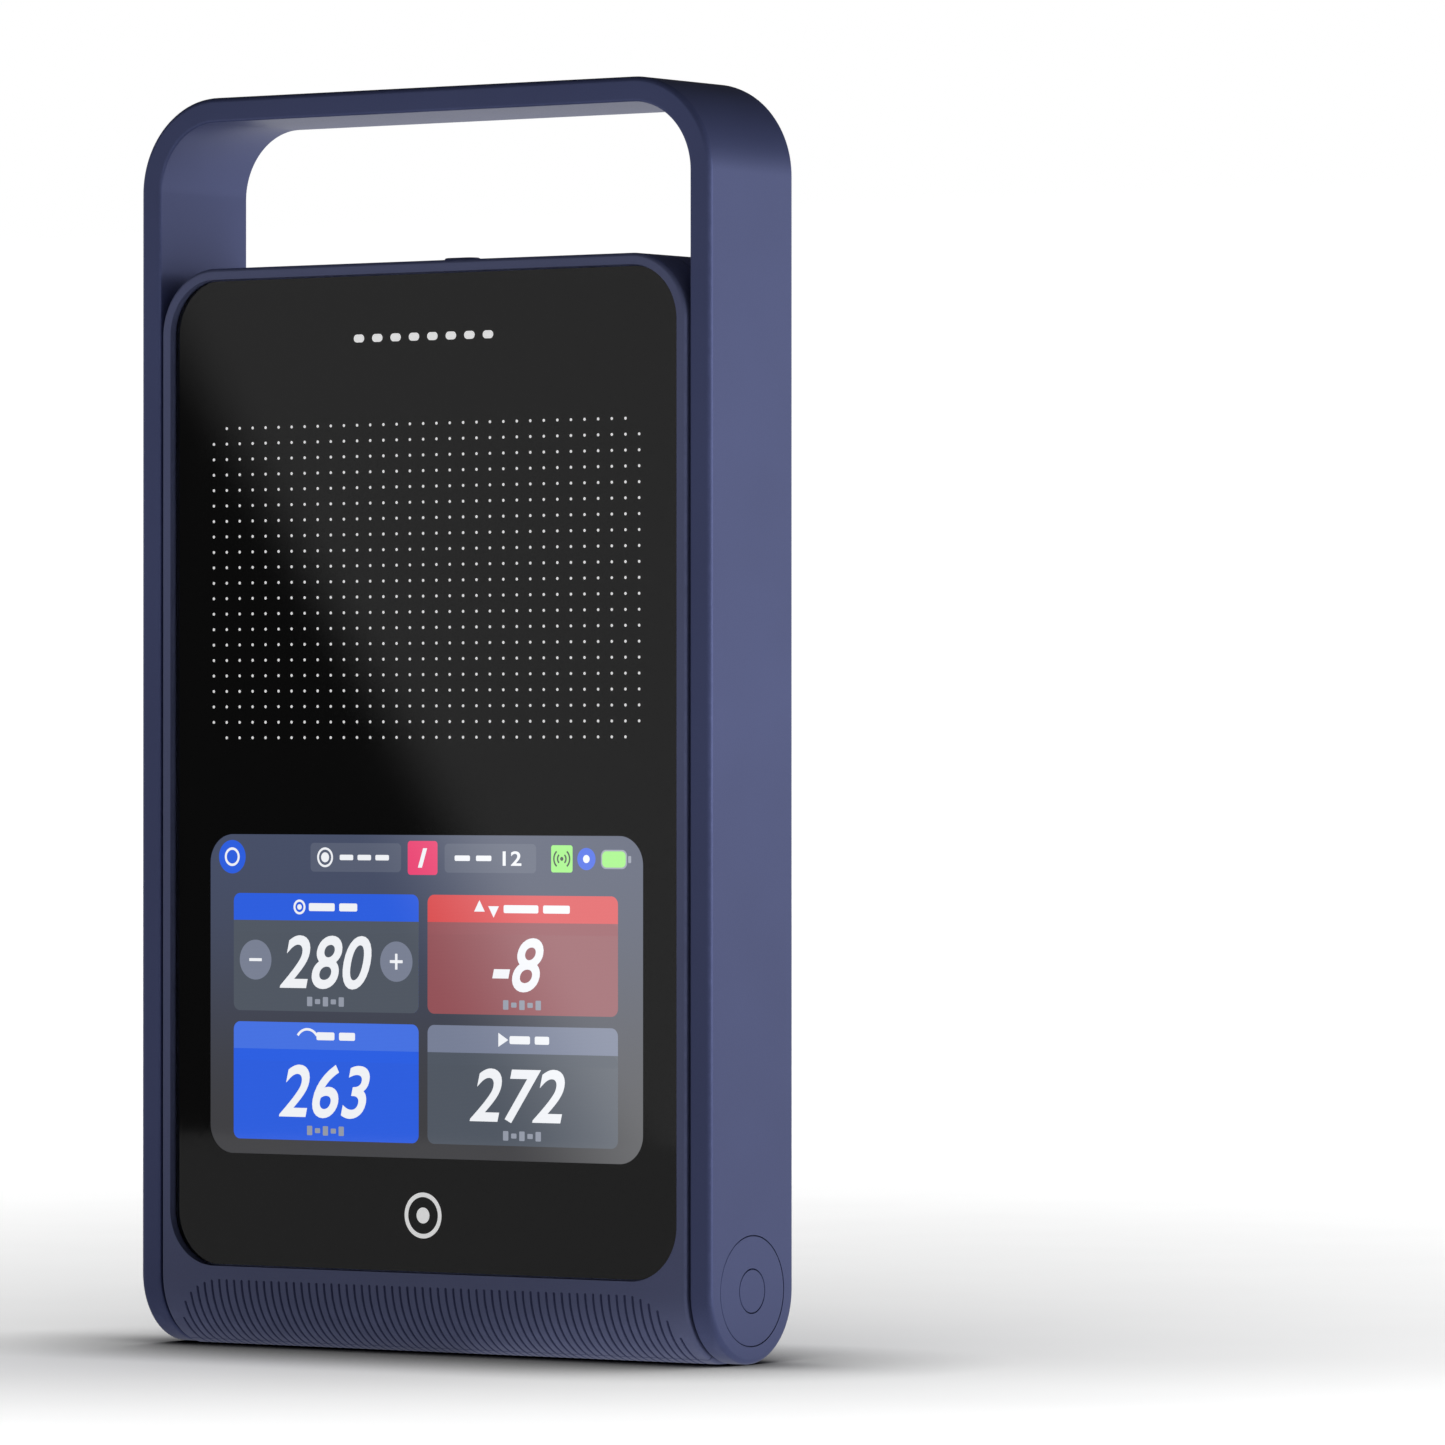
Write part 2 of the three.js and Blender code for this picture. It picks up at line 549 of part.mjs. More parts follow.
// A strip that follows the outer face round one upper corner, between two distances in from that face.
function cornerStrip(side, inner, outer) {
  const shape = new THREE.Shape();
  const centreZ = HEIGHT - HANDLE_CORNER;
  const middle = (inner + outer) / 2;
  const cap = (outer - inner) / 2;
  const [near, far] = [HANDLE_CORNER - outer, HANDLE_CORNER - inner];
  shape.absarc(CORNER_X, centreZ, far, 0, Math.PI / 2);
  shape.absarc(CORNER_X - PAD_END, HEIGHT - middle, cap, Math.PI / 2, 1.5 * Math.PI);
  shape.absarc(CORNER_X, centreZ, near, Math.PI / 2, 0, true);
  shape.absarc(WIDTH / 2 - middle, centreZ - PAD_END, cap, Math.PI, 2 * Math.PI);
  shape.closePath();
  if (side > 0) return shape;
  const mirrored = shape.getPoints(ARC_STEPS / 2).map((p) => new THREE.Vector2(-p.x, p.y)).reverse();
  return new THREE.Shape(mirrored);
}

function footStrip(side, inner, outer) {
  const [left, right] = [side * (WIDTH / 2 - inner), side * (WIDTH / 2 - outer)].sort((a, b) => a - b);
  const play = inner - PAD_OFFSET;
  return pill(left, right, FOOT_PAD[0] + play, FOOT_PAD[1] - play);
}

// The round end of one arm, about the pivot.
function armEnd(side) {
  const radius = HANDLE_DEPTH / 2;
  return solid(pivotLathe([
    [0, ARM_INSIDE], [radius - INNER_EDGE, ARM_INSIDE], [radius, ARM_INSIDE + INNER_EDGE],
    ...roundedRim(radius, ARM_OUTSIDE, OUTER_EDGE), [0, ARM_OUTSIDE],
  ], side));
}

function handleBand() {
  const [front, back] = [-HANDLE_DEPTH / 2, HANDLE_DEPTH / 2];
  const slab = plate(bandOutline(0, PIVOT_Z - OUTER_EDGE), front, back, { edge: OUTER_EDGE });
  const opening = plate(bandOutline(BAND, -HEIGHT), front - 0.01, back + 0.01, { flare: INNER_EDGE });
  let band = solid(slab).subtract(solid(opening));
  for (const side of [-1, 1]) band = band.add(armEnd(side));
  const groove = [PAD_OFFSET, PAD_OFFSET + PAD_GROOVE];
  for (const side of [-1, 1]) {
    const recessFloor = ARM_OUTSIDE - CAP_THICK - CAP_LIFT;
    band = band
      .subtract(solid(pivotCylinder(side, CAP_RADIUS + CAP_PLAY, recessFloor, WIDTH, TURN_STEPS)))
      .subtract(solid(pivotCylinder(side, BOLT_HEAD + GAP, ARM_OUTSIDE - BOLT_SEAT, WIDTH)))
      .subtract(pivotBore(side, BOLT_RADIUS + GAP))
      .subtract(solid(plate(cornerStrip(side, ...groove), back - PAD_DEPTH, HANDLE_DEPTH)))
      .subtract(solid(plate(footStrip(side, ...groove), back - PAD_DEPTH, HANDLE_DEPTH)));
  }
  return band;
}

// A rubber strip in its groove; `strip` draws the outline of either kind.
function pad(strip, side) {
  const outline = strip(side, PAD_OFFSET + PAD_PLAY, PAD_OFFSET + PAD_GROOVE - PAD_PLAY);
  const back = HANDLE_DEPTH / 2;
  return solid(plate(outline, back - PAD_DEPTH + PAD_LIFT, back, { edge: PAD_PLAY }));
}

// ---- Pivots -------------------------------------------------------------------------------------------
const BRACKET_OUTSIDE = CAVITY_SIDE - GAP;
const BRACKET_INSIDE = BRACKET_OUTSIDE - 2.1;
const WASHER_INSIDE = BRACKET_INSIDE - 1.1;
const BOLT_OUTSIDE = ARM_OUTSIDE - CAP_THICK - 0.2;

function hingeBracket(side) {
  const { half, top, topCorner, bottomCorner } = HINGE_BRACKET;
  const outline = rectangle(0, half, PIVOT_Z - half, top, topCorner, bottomCorner);
  const [low, high] = [side * BRACKET_INSIDE, side * BRACKET_OUTSIDE].sort((a, b) => a - b);
  const arm = solid(across(outline, low, high, { arcSteps: INNER_ARC_STEPS }));
  return arm.subtract(pivotBore(side, BUSH_RADIUS + GAP));
}

// A ring on the bolt, between two distances from the middle.
function boltRing(side, radius, inner, outer, steps) {
  return solid(pivotCylinder(side, radius, inner, outer, steps)).subtract(pivotBore(side, BOLT_RADIUS + GAP));
}

function pivotBush(side) {
  return boltRing(side, BUSH_RADIUS, BRACKET_INSIDE - GAP, BODY_SIDE - 0.1);
}

function pivotWasher(side) {
  return boltRing(side, WASHER_RADIUS, WASHER_INSIDE, WASHER_INSIDE + WASHER_THICK);
}

function pivotNut(side) {
  return boltRing(side, NUT_RADIUS, WASHER_INSIDE - NUT_THICK - 0.2, WASHER_INSIDE - 0.2, 6);
}

function pivotBolt(side) {
  return solid(pivotCylinder(side, BOLT_RADIUS, WASHER_INSIDE - BOLT_TAIL, BOLT_OUTSIDE - 1))
    .add(solid(pivotCylinder(side, BOLT_HEAD, BOLT_OUTSIDE - BOLT_HEAD_THICK, BOLT_OUTSIDE)));
}

function pivotCap(side) {
  const rim = roundedRim(CAP_RADIUS, ARM_OUTSIDE, CAP_PLAY, 1);
  const [hole, inside] = [PLUG_RADIUS + CAP_PLAY, ARM_OUTSIDE - CAP_THICK];
  const profile = [[hole, inside], [CAP_RADIUS, inside], ...rim, [hole, ARM_OUTSIDE]];
  return solid(pivotLathe([...profile, profile[0]], side));
}

function capPlug(side) {
  const rim = roundedRim(PLUG_RADIUS, ARM_OUTSIDE, CAP_PLAY, 1);
  const inside = ARM_OUTSIDE - CAP_THICK;
  return solid(pivotLathe([[0, inside], [PLUG_RADIUS, inside], ...rim, [0, ARM_OUTSIDE]], side));
}

// ---- Materials ----------------------------------------------------------------------------------------
const finish = (color, roughness, metalness = 0) => ({ color, roughness, metalness });
const NAVY_SHELL = finish(0x555a78, 0.5);
const NAVY_BAND = finish(0x4a5073, 0.45);
const NAVY_COVER = finish(0x5a5f7c, 0.5);
const RUBBER = finish(0x4d5370, 0.8);
const BLACK_RUBBER = finish(0x111114, 0.85);
const PANEL_BLACK = finish(0x1c1c1c, 0.08);
const DISPLAY = finish(0x4c5668, 0.15);
const CIRCUIT = finish(0x1d4a2e, 0.5);
const STEEL = finish(0xb6b8bb, 0.35, 1);
const TIN = finish(0xc6c9cc, 0.3, 1);
const BRONZE = finish(0x9c7a45, 0.4, 1);
const ALUMINIUM = finish(0x8d9095, 0.45, 1);
const CHARCOAL = finish(0x2b2d31, 0.6);
const BATTERY_WRAP = finish(0x23355c, 0.5);
const RIBBON = finish(0xb98a3c, 0.5);

// ---- Assembly -----------------------------------------------------------------------------------------
const launchMonitor = new THREE.Group();
const handle = new THREE.Group();
launchMonitor.add(handle);

function place(name, manifold, look, group = launchMonitor) {
  const mesh = new THREE.Mesh(geometryOf(manifold), new THREE.MeshStandardMaterial(look));
  mesh.name = name;
  group.add(mesh);
}

function placeScrews(name, places, surface, length) {
  places.forEach((at, i) => place(`${name}_${i + 1}`, screw(at, surface, length), STEEL));
}

place('front_shell', frontShell(), NAVY_SHELL);
place('rear_shell', rearShell(), NAVY_SHELL);
place('front_panel', frontPanel(), PANEL_BLACK);
place('panel_gasket', panelGasket(), BLACK_RUBBER);
place('display_module', displayModule(), DISPLAY);
place('display_bracket', displayBracket(), STEEL);
place('display_cable', ribbon(DISPLAY_RIBBON), RIBBON);
place('radar_board', radarBoard(), CIRCUIT);
place('radar_shield', radarShield(), TIN);
place('radar_cable', ribbon(RADAR_RIBBON), RIBBON);
place('chassis_plate', chassisPlate(), ALUMINIUM);
place('main_board', mainBoard(), CIRCUIT);
place('processor_shield', processorShield(), TIN);
place('usb_c_port', usbPort(), TIN);
place('wireless_antenna', wirelessAntenna(), CHARCOAL);
place('battery_tray', batteryTray(), CHARCOAL);
place('battery_pack', batteryPack(), BATTERY_WRAP);
place('battery_connector', batteryConnector(), CHARCOAL);
place('power_switch', powerSwitch(), CHARCOAL);
place('door_seal', doorSeal(), BLACK_RUBBER);
placeScrews('chassis_screw', CHASSIS_SCREWS, CHASSIS_BACK, 7);
placeScrews('board_screw', BOARD_SCREWS, BOARD_BACK, 4.5);
placeScrews('tray_screw', TRAY_SCREWS, TRAY_FLOOR, 3.5);
place('power_button', powerButton(), NAVY_COVER);
place('rear_door', rearDoor(), NAVY_COVER);
place('port_cover', portCover(), NAVY_COVER);

place('handle_band', handleBand(), NAVY_BAND, handle);
for (const [side, label] of [[-1, 'left'], [1, 'right']]) {
  place(`hinge_bracket_${label}`, hingeBracket(side), STEEL);
  place(`pivot_bush_${label}`, pivotBush(side), BRONZE);
  place(`corner_pad_${label}`, pad(cornerStrip, side), RUBBER, handle);
  place(`foot_pad_${label}`, pad(footStrip, side), RUBBER, handle);
  place(`pivot_bolt_${label}`, pivotBolt(side), STEEL, handle);
  place(`pivot_washer_${label}`, pivotWasher(side), STEEL, handle);
  place(`pivot_nut_${label}`, pivotNut(side), STEEL, handle);
  place(`pivot_cap_${label}`, pivotCap(side), NAVY_BAND, handle);
  place(`cap_plug_${label}`, capPlug(side), NAVY_BAND, handle);
}

export default launchMonitor;
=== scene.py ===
import math

import bmesh
import bpy
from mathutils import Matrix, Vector


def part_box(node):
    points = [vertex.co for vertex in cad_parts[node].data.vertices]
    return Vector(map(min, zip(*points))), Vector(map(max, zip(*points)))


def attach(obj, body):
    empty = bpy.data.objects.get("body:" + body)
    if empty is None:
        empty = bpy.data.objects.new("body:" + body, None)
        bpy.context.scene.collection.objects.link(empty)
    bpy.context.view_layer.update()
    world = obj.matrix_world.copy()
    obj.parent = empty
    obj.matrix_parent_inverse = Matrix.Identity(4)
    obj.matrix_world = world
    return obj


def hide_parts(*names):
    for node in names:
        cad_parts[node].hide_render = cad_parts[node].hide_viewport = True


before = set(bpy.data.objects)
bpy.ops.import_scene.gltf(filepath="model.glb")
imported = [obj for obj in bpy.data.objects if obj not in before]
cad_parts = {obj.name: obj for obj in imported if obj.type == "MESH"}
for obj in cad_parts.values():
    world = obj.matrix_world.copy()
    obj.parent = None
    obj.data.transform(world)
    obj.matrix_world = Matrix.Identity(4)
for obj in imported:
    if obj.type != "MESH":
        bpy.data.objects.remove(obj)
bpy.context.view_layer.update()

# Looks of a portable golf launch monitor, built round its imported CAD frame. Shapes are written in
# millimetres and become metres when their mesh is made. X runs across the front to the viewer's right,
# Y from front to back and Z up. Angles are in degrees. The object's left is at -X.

MM = 0.001


def box_mm(node):
    """Lowest and highest corner of a CAD node, in millimetres."""
    low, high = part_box(node)
    return low / MM, high / MM


# ---- Sizes read from the frame ----
BAND_HIGH = box_mm("handle_band")[1]
HALF_WIDTH = BAND_HIGH.x
HEIGHT = BAND_HIGH.z
BAND_BACK = BAND_HIGH.y
PIVOT_Z = BAND_BACK  # the arms end in half rounds about the pivot line

SHELL_HIGH = box_mm("rear_shell")[1]
BODY_SIDE = SHELL_HIGH.x
BODY_BACK = SHELL_HIGH.y
BODY_TOP = SHELL_HIGH.z

PANEL_LOW, PANEL_HIGH = box_mm("front_panel")
DOOR_LOW, DOOR_HIGH = box_mm("rear_door")
COVER_LOW, COVER_HIGH = box_mm("port_cover")
BUTTON_LOW, BUTTON_HIGH = box_mm("power_button")
CAP_RADIUS = box_mm("pivot_cap_right")[1].z - PIVOT_Z
PLUG_RADIUS = box_mm("cap_plug_right")[1].z - PIVOT_Z
FOOT_LOW, FOOT_HIGH = box_mm("foot_pad_right")
BUSH_HIGH = box_mm("pivot_bush_right")[1]

# ---- Sizes that the frame's boxes don't give ----
BAND = 5.0  # thickness of the handle band
HANDLE_CORNER = 19.0  # outer corner radius of the handle
CORNER_X = HALF_WIDTH - HANDLE_CORNER  # every upper corner arc starts at this distance from the middle
CORNER_Z = HEIGHT - HANDLE_CORNER
OUTER_EDGE = 1.1  # radius of the band's outer edges
INNER_EDGE = 0.6
BODY_EDGE = 0.8
WALL = 2.4
FACE_WALL = 3.2
CAVITY_SIDE = BODY_SIDE - WALL
CAVITY_BACK = BODY_BACK - FACE_WALL
CAVITY_TOP = BODY_TOP - WALL
SEAM_Y = -6.0
SEAM_GAP = 0.3
RECESS_DEPTH = 2.25  # front edge of the housing to the ledge behind the panel
RECESS_PLAY = 0.2
WINDOW_MARGIN = 2.0
WINDOW_CORNER = 20.0
GLASS_THICK = 1.2
DOOR_GAP = 0.8
DOOR_THICK = 1.8
DOOR_EDGE = 0.35
DOOR_LEDGE = 2.4  # back face of the housing to the ledge under the door
DOOR_BOTTOM = DOOR_LOW.z - DOOR_GAP
DOOR_TOP = DOOR_HIGH.z + DOOR_GAP
BAY_MARGIN = 3.0
BAY_HEADROOM = 7.0
BAY_CORNER = 7.0
COVER_THICK = 1.6
COVER_EDGE = 0.3
COVER_Z = (COVER_LOW.z + COVER_HIGH.z) / 2
COVER_HALF_HEIGHT = (COVER_HIGH.z - COVER_LOW.z) / 2
COVER_PLAY = 0.2
PORT_HALF = (5.4, 2.5)
PORT_PLUG_HALF = (4.0, 1.2)
BUTTON_HALF = (4.0, 2.0)
BUTTON_EDGE = 0.4
BUTTON_FLANGE_THICK = 1.1
CAP_PLAY = 0.15
CAP_THICK = 1.25
CAP_SEAT_DEPTH = CAP_THICK + 0.05
CAP_EDGE, CAP_LIP = 0.18, 0.12
BOLT_SEAT_RADIUS = 5.8
BOLT_SEAT_DEPTH = 3.2
BORE_RADIUS = 3.3
PAD_OFFSET = 1.3
PAD_GROOVE = 2.5
PAD_DEPTH = 1.2
PAD_PLAY = 0.15
PAD_END = 4.7  # straight run of a corner strip past the arc
PAD_LIFT = 0.1
PAD_EDGE = 0.3
PAD_END_STEPS = 12
BOSS_RADIUS = 2.8
BOSS_STEPS = 32
BOSS_PLAY = 0.2
BOSS_PLACES = ((-57, 24), (57, 24), (-57, 208), (57, 208))

RIB_GROOVES = 66
RIB_PITCH = 1.907
RIB_GROOVE = 0.52  # width of a groove
RIB_LIP = 0.1  # chamfer along its edges
RIB_DEPTH = 0.6
RIB_TOP = DOOR_BOTTOM - 2.9
RIB_CORNER = 12.0
RIB_CORNER_X = (RIB_GROOVES - 1) / 2 * RIB_PITCH - RIB_CORNER + 0.42
RIB_FRONT_DROP = 0.7  # the grooves end this far below the pivot's height at the front
COVER_MARGIN = 0.55  # plain land between the port cover and the grooves
RIB_HALF = RIB_GROOVE / 2
RIB_LEVELS = [  # depth and half width of a groove, from just outside the surface to its floor
    (-0.12, RIB_HALF + RIB_LIP + 0.04), (0.0, RIB_HALF + RIB_LIP * 0.6), (RIB_LIP, RIB_HALF),
    (RIB_DEPTH - 0.12, RIB_HALF - 0.02), (RIB_DEPTH, RIB_HALF - 0.1),
]

DOT_COLUMNS, DOT_ROWS = 33, 21
DOT_PITCH = (3.317, 3.144)
DOT_CENTRE_Z = 155.2
DOT_RADIUS = 0.3
DOT_STEPS = 14

SCREEN_Z = 71.8
SCREEN_HALF = (54.0, 32.4)
SCREEN_CORNER = 5.8

ARC_STEPS = 24  # facets in a quarter turn
BEND_STEPS = 32
DRUM_STEPS = 48
TURN_STEPS = 96
EDGE_STEPS = 5
GROOVE_END_STEPS = 6
WELD = 1e-7
SHARP_ANGLE = math.radians(28)
FAR = 2 * HEIGHT


# ---- Mesh helpers ----
def polar(angle):
    return math.cos(math.radians(angle)), math.sin(math.radians(angle))


def fan(start, stop, steps):
    """Cosine and sine of evenly spaced angles, both ends included."""
    return [polar(start + (stop - start) * i / steps) for i in range(steps + 1)]


def arc(cx, cz, radius, start, stop, steps=ARC_STEPS):
    return [(cx + radius * c, cz + radius * s) for c, s in fan(start, stop, steps)]


def linked(name, data):
    """A new object in the scene."""
    made = bpy.data.objects.new(name, data)
    bpy.context.scene.collection.objects.link(made)
    return made


def make_object(name, points, faces):
    """A welded mesh with its faces pointing out, from points in millimetres."""
    mesh = bpy.data.meshes.new(name)
    mesh.from_pydata([[c * MM for c in p] for p in points], [], faces)
    work = bmesh.new()
    work.from_mesh(mesh)
    bmesh.ops.remove_doubles(work, verts=work.verts, dist=WELD)
    bmesh.ops.recalc_face_normals(work, faces=work.faces)
    work.to_mesh(mesh)
    work.free()
    return linked(name, mesh)


def points_of(rings):
    return [point for ring in rings for point in ring]


def shifted(faces, start):
    """The same faces for points that come after the first so many."""
    return [tuple(start + k for k in face) for face in faces]


def bridges(rings, closed=True):
    """Quads between neighbouring rings that hold the same number of points, in ring order."""
    count = len(rings[0])
    last = count if closed else count - 1
    faces = []
    for r in range(len(rings) - 1):
        for i in range(last):
            j = (i + 1) % count
            faces.append((r * count + i, r * count + j, (r + 1) * count + j, (r + 1) * count + i))
    return faces


def loft(name, rings):
    """A closed solid through a row of rings, with a flat face on the first and the last."""
    count, total = len(rings[0]), len(rings[0]) * len(rings)
    faces = bridges(rings) + [tuple(range(count)), tuple(range(total - count, total))]
    return make_object(name, points_of(rings), faces)


def rim(front, back, edge, steps=EDGE_STEPS):
    """Pairs (depth, inset) that run from one face of a plate to the other and round both edges."""
    if edge <= 0:
        return [(front, 0.0), (back, 0.0)]
    first = [(front + edge * (1 - c), edge * (1 - s)) for c, s in fan(0, 90, steps)]
    return first + [(front + back - y, inset) for y, inset in reversed(first)]


def plate(name, outline, front, back, edge=0.0, steps=EDGE_STEPS):
    """A plate along Y. outline(inset) gives its points in X and Z."""
    rings = [[(x, y, z) for x, z in outline(inset)] for y, inset in rim(front, back, edge, steps)]
    return loft(name, rings)


def tool(outline, front, back, edge=0.0, steps=EDGE_STEPS):
    """A plate to cut with, or to join to something else."""
    return plate("tool", outline, front, back, edge, steps)


def upright(name, outline, low, high, edge=0.0):
    """A plate along Z. outline(inset) gives its points in X and Y."""
    return loft(name, [[(x, y, z) for x, y in outline(inset)] for z, inset in rim(low, high, edge)])


def rounded(half, bottom, top, corner, cx=0.0, steps=ARC_STEPS):
    """Outline function of a rectangle with rounded corners."""
    def outline(inset):
        radius = corner - inset
        right, left = cx + (half - inset) - radius, cx - (half - inset) + radius
        high, low = top - inset - radius, bottom + inset + radius
        return (arc(right, high, radius, 0, 90, steps) + arc(left, high, radius, 90, 180, steps)
                + arc(left, low, radius, 180, 270, steps) + arc(right, low, radius, 270, 360, steps))

    return outline


def stadium(half_long, half_short, cz=0.0):
    """Outline function of a strip along X with half-round ends."""
    def outline(inset):
        radius = half_short - inset
        reach = half_long - half_short
        return (arc(reach, cz, radius, -90, 90, 2 * ARC_STEPS)
                + arc(-reach, cz, radius, 90, 270, 2 * ARC_STEPS))

    return outline


def disc(radius, cx=0.0, cz=0.0, steps=TURN_STEPS):
    return lambda inset: arc(cx, cz, radius - inset, 0, 360, steps)[:-1]


def block(name, low, high):
    (x0, y0, z0), (x1, y1, z1) = low, high
    corners = [(x0, z0), (x1, z0), (x1, z1), (x0, z1)]
    return loft(name, [[(x, y, z) for x, z in corners] for y in (y0, y1)])


def turned(name, profile, side):
    """A solid of revolution about the pivot line, from a row of (radius, distance from the middle)."""
    rings = [[(side * x, radius * c, PIVOT_Z + radius * s) for radius, x in profile]
             for c, s in fan(0, 360, TURN_STEPS)]
    return make_object(name, points_of(rings), bridges(rings))


def pivot_cylinder(side, radius, inner, outer):
    return turned("tool", [(0, inner), (radius, inner), (radius, outer), (0, outer)], side)


def carve(target, tools, operation="DIFFERENCE"):
    """Cuts the tools from the target, or joins them to it, one after another, and removes them."""
    for tool in tools:
        modifier = target.modifiers.new("carve", "BOOLEAN")
        modifier.object = tool
        modifier.operation = operation
        modifier.solver = "MANIFOLD"
        graph = bpy.context.evaluated_depsgraph_get()
        result = bpy.data.meshes.new_from_object(target.evaluated_get(graph))
        if not result.polygons:
            raise RuntimeError(f"nothing is left of {target.name}")
        target.modifiers.clear()
        old = target.data
        target.data = result
        bpy.data.meshes.remove(old)
        bpy.data.objects.remove(tool)
    return target


def copy_of(source, name):
    return linked(name, source.data.copy())


def join(name, parts):
    """One object out of several; materials are kept."""
    target = parts[0]
    with bpy.context.temp_override(active_object=target, selected_editable_objects=parts):
        bpy.ops.object.join()
    target.name = name
    return target


def shade(piece):
    """Smooth shading that breaks at sharp edges and keeps large flat faces flat."""
    work = bmesh.new()
    work.from_mesh(piece.data)
    for face in work.faces:
        face.smooth = True
    for edge in work.edges:
        edge.smooth = len(edge.link_faces) == 2 and edge.calc_face_angle(0) < SHARP_ANGLE
    work.to_mesh(piece.data)
    work.free()
    modifier = piece.modifiers.new("flat_faces_stay_flat", "WEIGHTED_NORMAL")
    modifier.keep_sharp = True


def mount(piece, body, slot, material=None, *stands_for):
    """Finishes a piece: material, shading, body and the CAD nodes that it stands for. slot is not used."""
    if material:
        piece.data.materials.clear()
        piece.data.materials.append(material)
    shade(piece)
    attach(piece, body)
    if stands_for:
        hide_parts(*stands_for)


# ---- Materials ----
def tone(red, green, blue):
    """Linear colour of a display value from 0 to 255."""
    levels = [c / 255 for c in (red, green, blue)]
    return (*[((c + 0.055) / 1.055) ** 2.4 if c > 0.04 else c / 12.92 for c in levels], 1)


def scaled(colour, factor, lift=0.0):
    """The colour made brighter or darker."""
    return (*[min(1, c * factor + lift) for c in colour[:3]], 1)


def add(tree, kind, inputs=None, **settings):
    """A shader node; an input takes a value or another node's output."""
    made = tree.nodes.new("ShaderNode" + kind)
    for key, value in settings.items():
        setattr(made, key, value)
    for key, value in (inputs or {}).items():
        if isinstance(value, bpy.types.NodeSocket):
            tree.links.new(value, made.inputs[key])
        else:
            made.inputs[key].default_value = value
    return made


def math_node(tree, operation, *values, clamp=False):
    return add(tree, "Math", dict(enumerate(values)), operation=operation, use_clamp=clamp).outputs[0]


def times(tree, first, second):
    return math_node(tree, "MULTIPLY", first, second)


def remap(tree, value, low, high, to_low=0.0, to_high=1.0, smooth=False):
    """The value's range low..high becomes to_low..to_high, clamped."""
    inputs = {0: value, 1: low, 2: high, 3: to_low, 4: to_high}
    kind = "SMOOTHSTEP" if smooth else "LINEAR"
    return add(tree, "MapRange", inputs, interpolation_type=kind).outputs[0]


def blend_colours(tree, factor, first, second, kind="MIX"):
    mix = add(tree, "Mix", {0: factor, 6: first, 7: second}, data_type="RGBA", blend_type=kind)
    return mix.outputs[2]


def new_material(name):
    """A node material without nodes, its tree and its object coordinates in metres."""
    material = bpy.data.materials.new(name)
    material.use_nodes = True
    tree = material.node_tree
    tree.nodes.clear()
    place = add(tree, "TexCoord").outputs["Object"]
    return material, tree, place


def noise(tree, place, per_mm, detail=2.0, roughness=0.5):
    inputs = {"Vector": place, "Scale": per_mm / MM, "Detail": detail, "Roughness": roughness}
    return add(tree, "TexNoise", inputs).outputs["Fac"]


def bumped(tree, height, depth_mm, strength=1.0, under=None):
    inputs = {"Height": height, "Distance": depth_mm * MM, "Strength": strength}
    if under:
        inputs["Normal"] = under
    return add(tree, "Bump", inputs).outputs["Normal"]


def surface(tree, shader):
    add(tree, "OutputMaterial", {"Surface": shader})


def finished(material, base, rough, relief=None, more=None):
    """The material with its main shader in place."""
    inputs = {"Base Color": base, "Roughness": rough, **(more or {})}
    if relief:
        inputs["Normal"] = relief
    tree = material.node_tree
    surface(tree, add(tree, "BsdfPrincipled", inputs).outputs[0])
    return material


def axes_of(tree, vector):
    return add(tree, "SeparateXYZ", {0: vector}).outputs


def rounded_edge_mask(tree):
    """1 where the surface turns between a face across Y and one along it, so on the rounded edges."""
    normal = add(tree, "NewGeometry").outputs["Normal"]
    slope = math_node(tree, "ABSOLUTE", axes_of(tree, normal)[1])
    rising = remap(tree, slope, 0.2, 0.55, smooth=True)
    falling = remap(tree, slope, 0.85, 0.98, 1.0, 0.0, smooth=True)
    return times(tree, rising, falling)


def moulded_plastic(name, colour, roughness, grain_mm=0.22, grain_depth=0.012, edge_polish_and_sheen=0.35, pearl=0.0):
    """Satin moulded plastic: fine spark-eroded grain, slow colour drift, and patches on the rounded edges
    that are a little polished and carry a painted highlight.

    pearl is the share of the light that a pearly pigment mirrors in the plastic's own colour.
    """
    material, tree, place = new_material(name)
    drift = remap(tree, noise(tree, place, 0.02, 3.0), 0.3, 0.7)
    fine = noise(tree, place, 1 / grain_mm, 2.0, 0.6)
    base = blend_colours(tree, drift, scaled(colour, 0.93), scaled(colour, 1.06))
    speck = remap(tree, fine, 0.35, 0.65, 0.96, 1.04)
    base = blend_colours(tree, 1.0, base, speck, "MULTIPLY")
    polish_and_sheen_patches = remap(tree, noise(tree, place, 0.35, 6.0, 0.7), 0.45, 0.75)
    edge_polish_and_painted_sheen = times(tree, times(tree, rounded_edge_mask(tree), polish_and_sheen_patches), edge_polish_and_sheen)
    # painted highlight: the rounded edges are painted in a lighter colour; the lower roughness below is the
    # real polish
    base = blend_colours(tree, edge_polish_and_painted_sheen, base, scaled(colour, 1.5, 0.01))
    satin = remap(tree, fine, 0.3, 0.7, roughness - 0.04, roughness + 0.05)
    satin = math_node(tree, "SUBTRACT", satin, times(tree, edge_polish_and_painted_sheen, 0.15))
    pit_mm = 1.6 * grain_mm
    pits = add(tree, "TexVoronoi", {"Vector": place, "Scale": 1 / pit_mm / MM}).outputs["Distance"]
    relief = bumped(tree, pits, grain_depth, 0.5, bumped(tree, fine, grain_depth, 0.6))
    return finished(material, base, satin, relief, {"Metallic": pearl, "Specular IOR Level": 0.38})


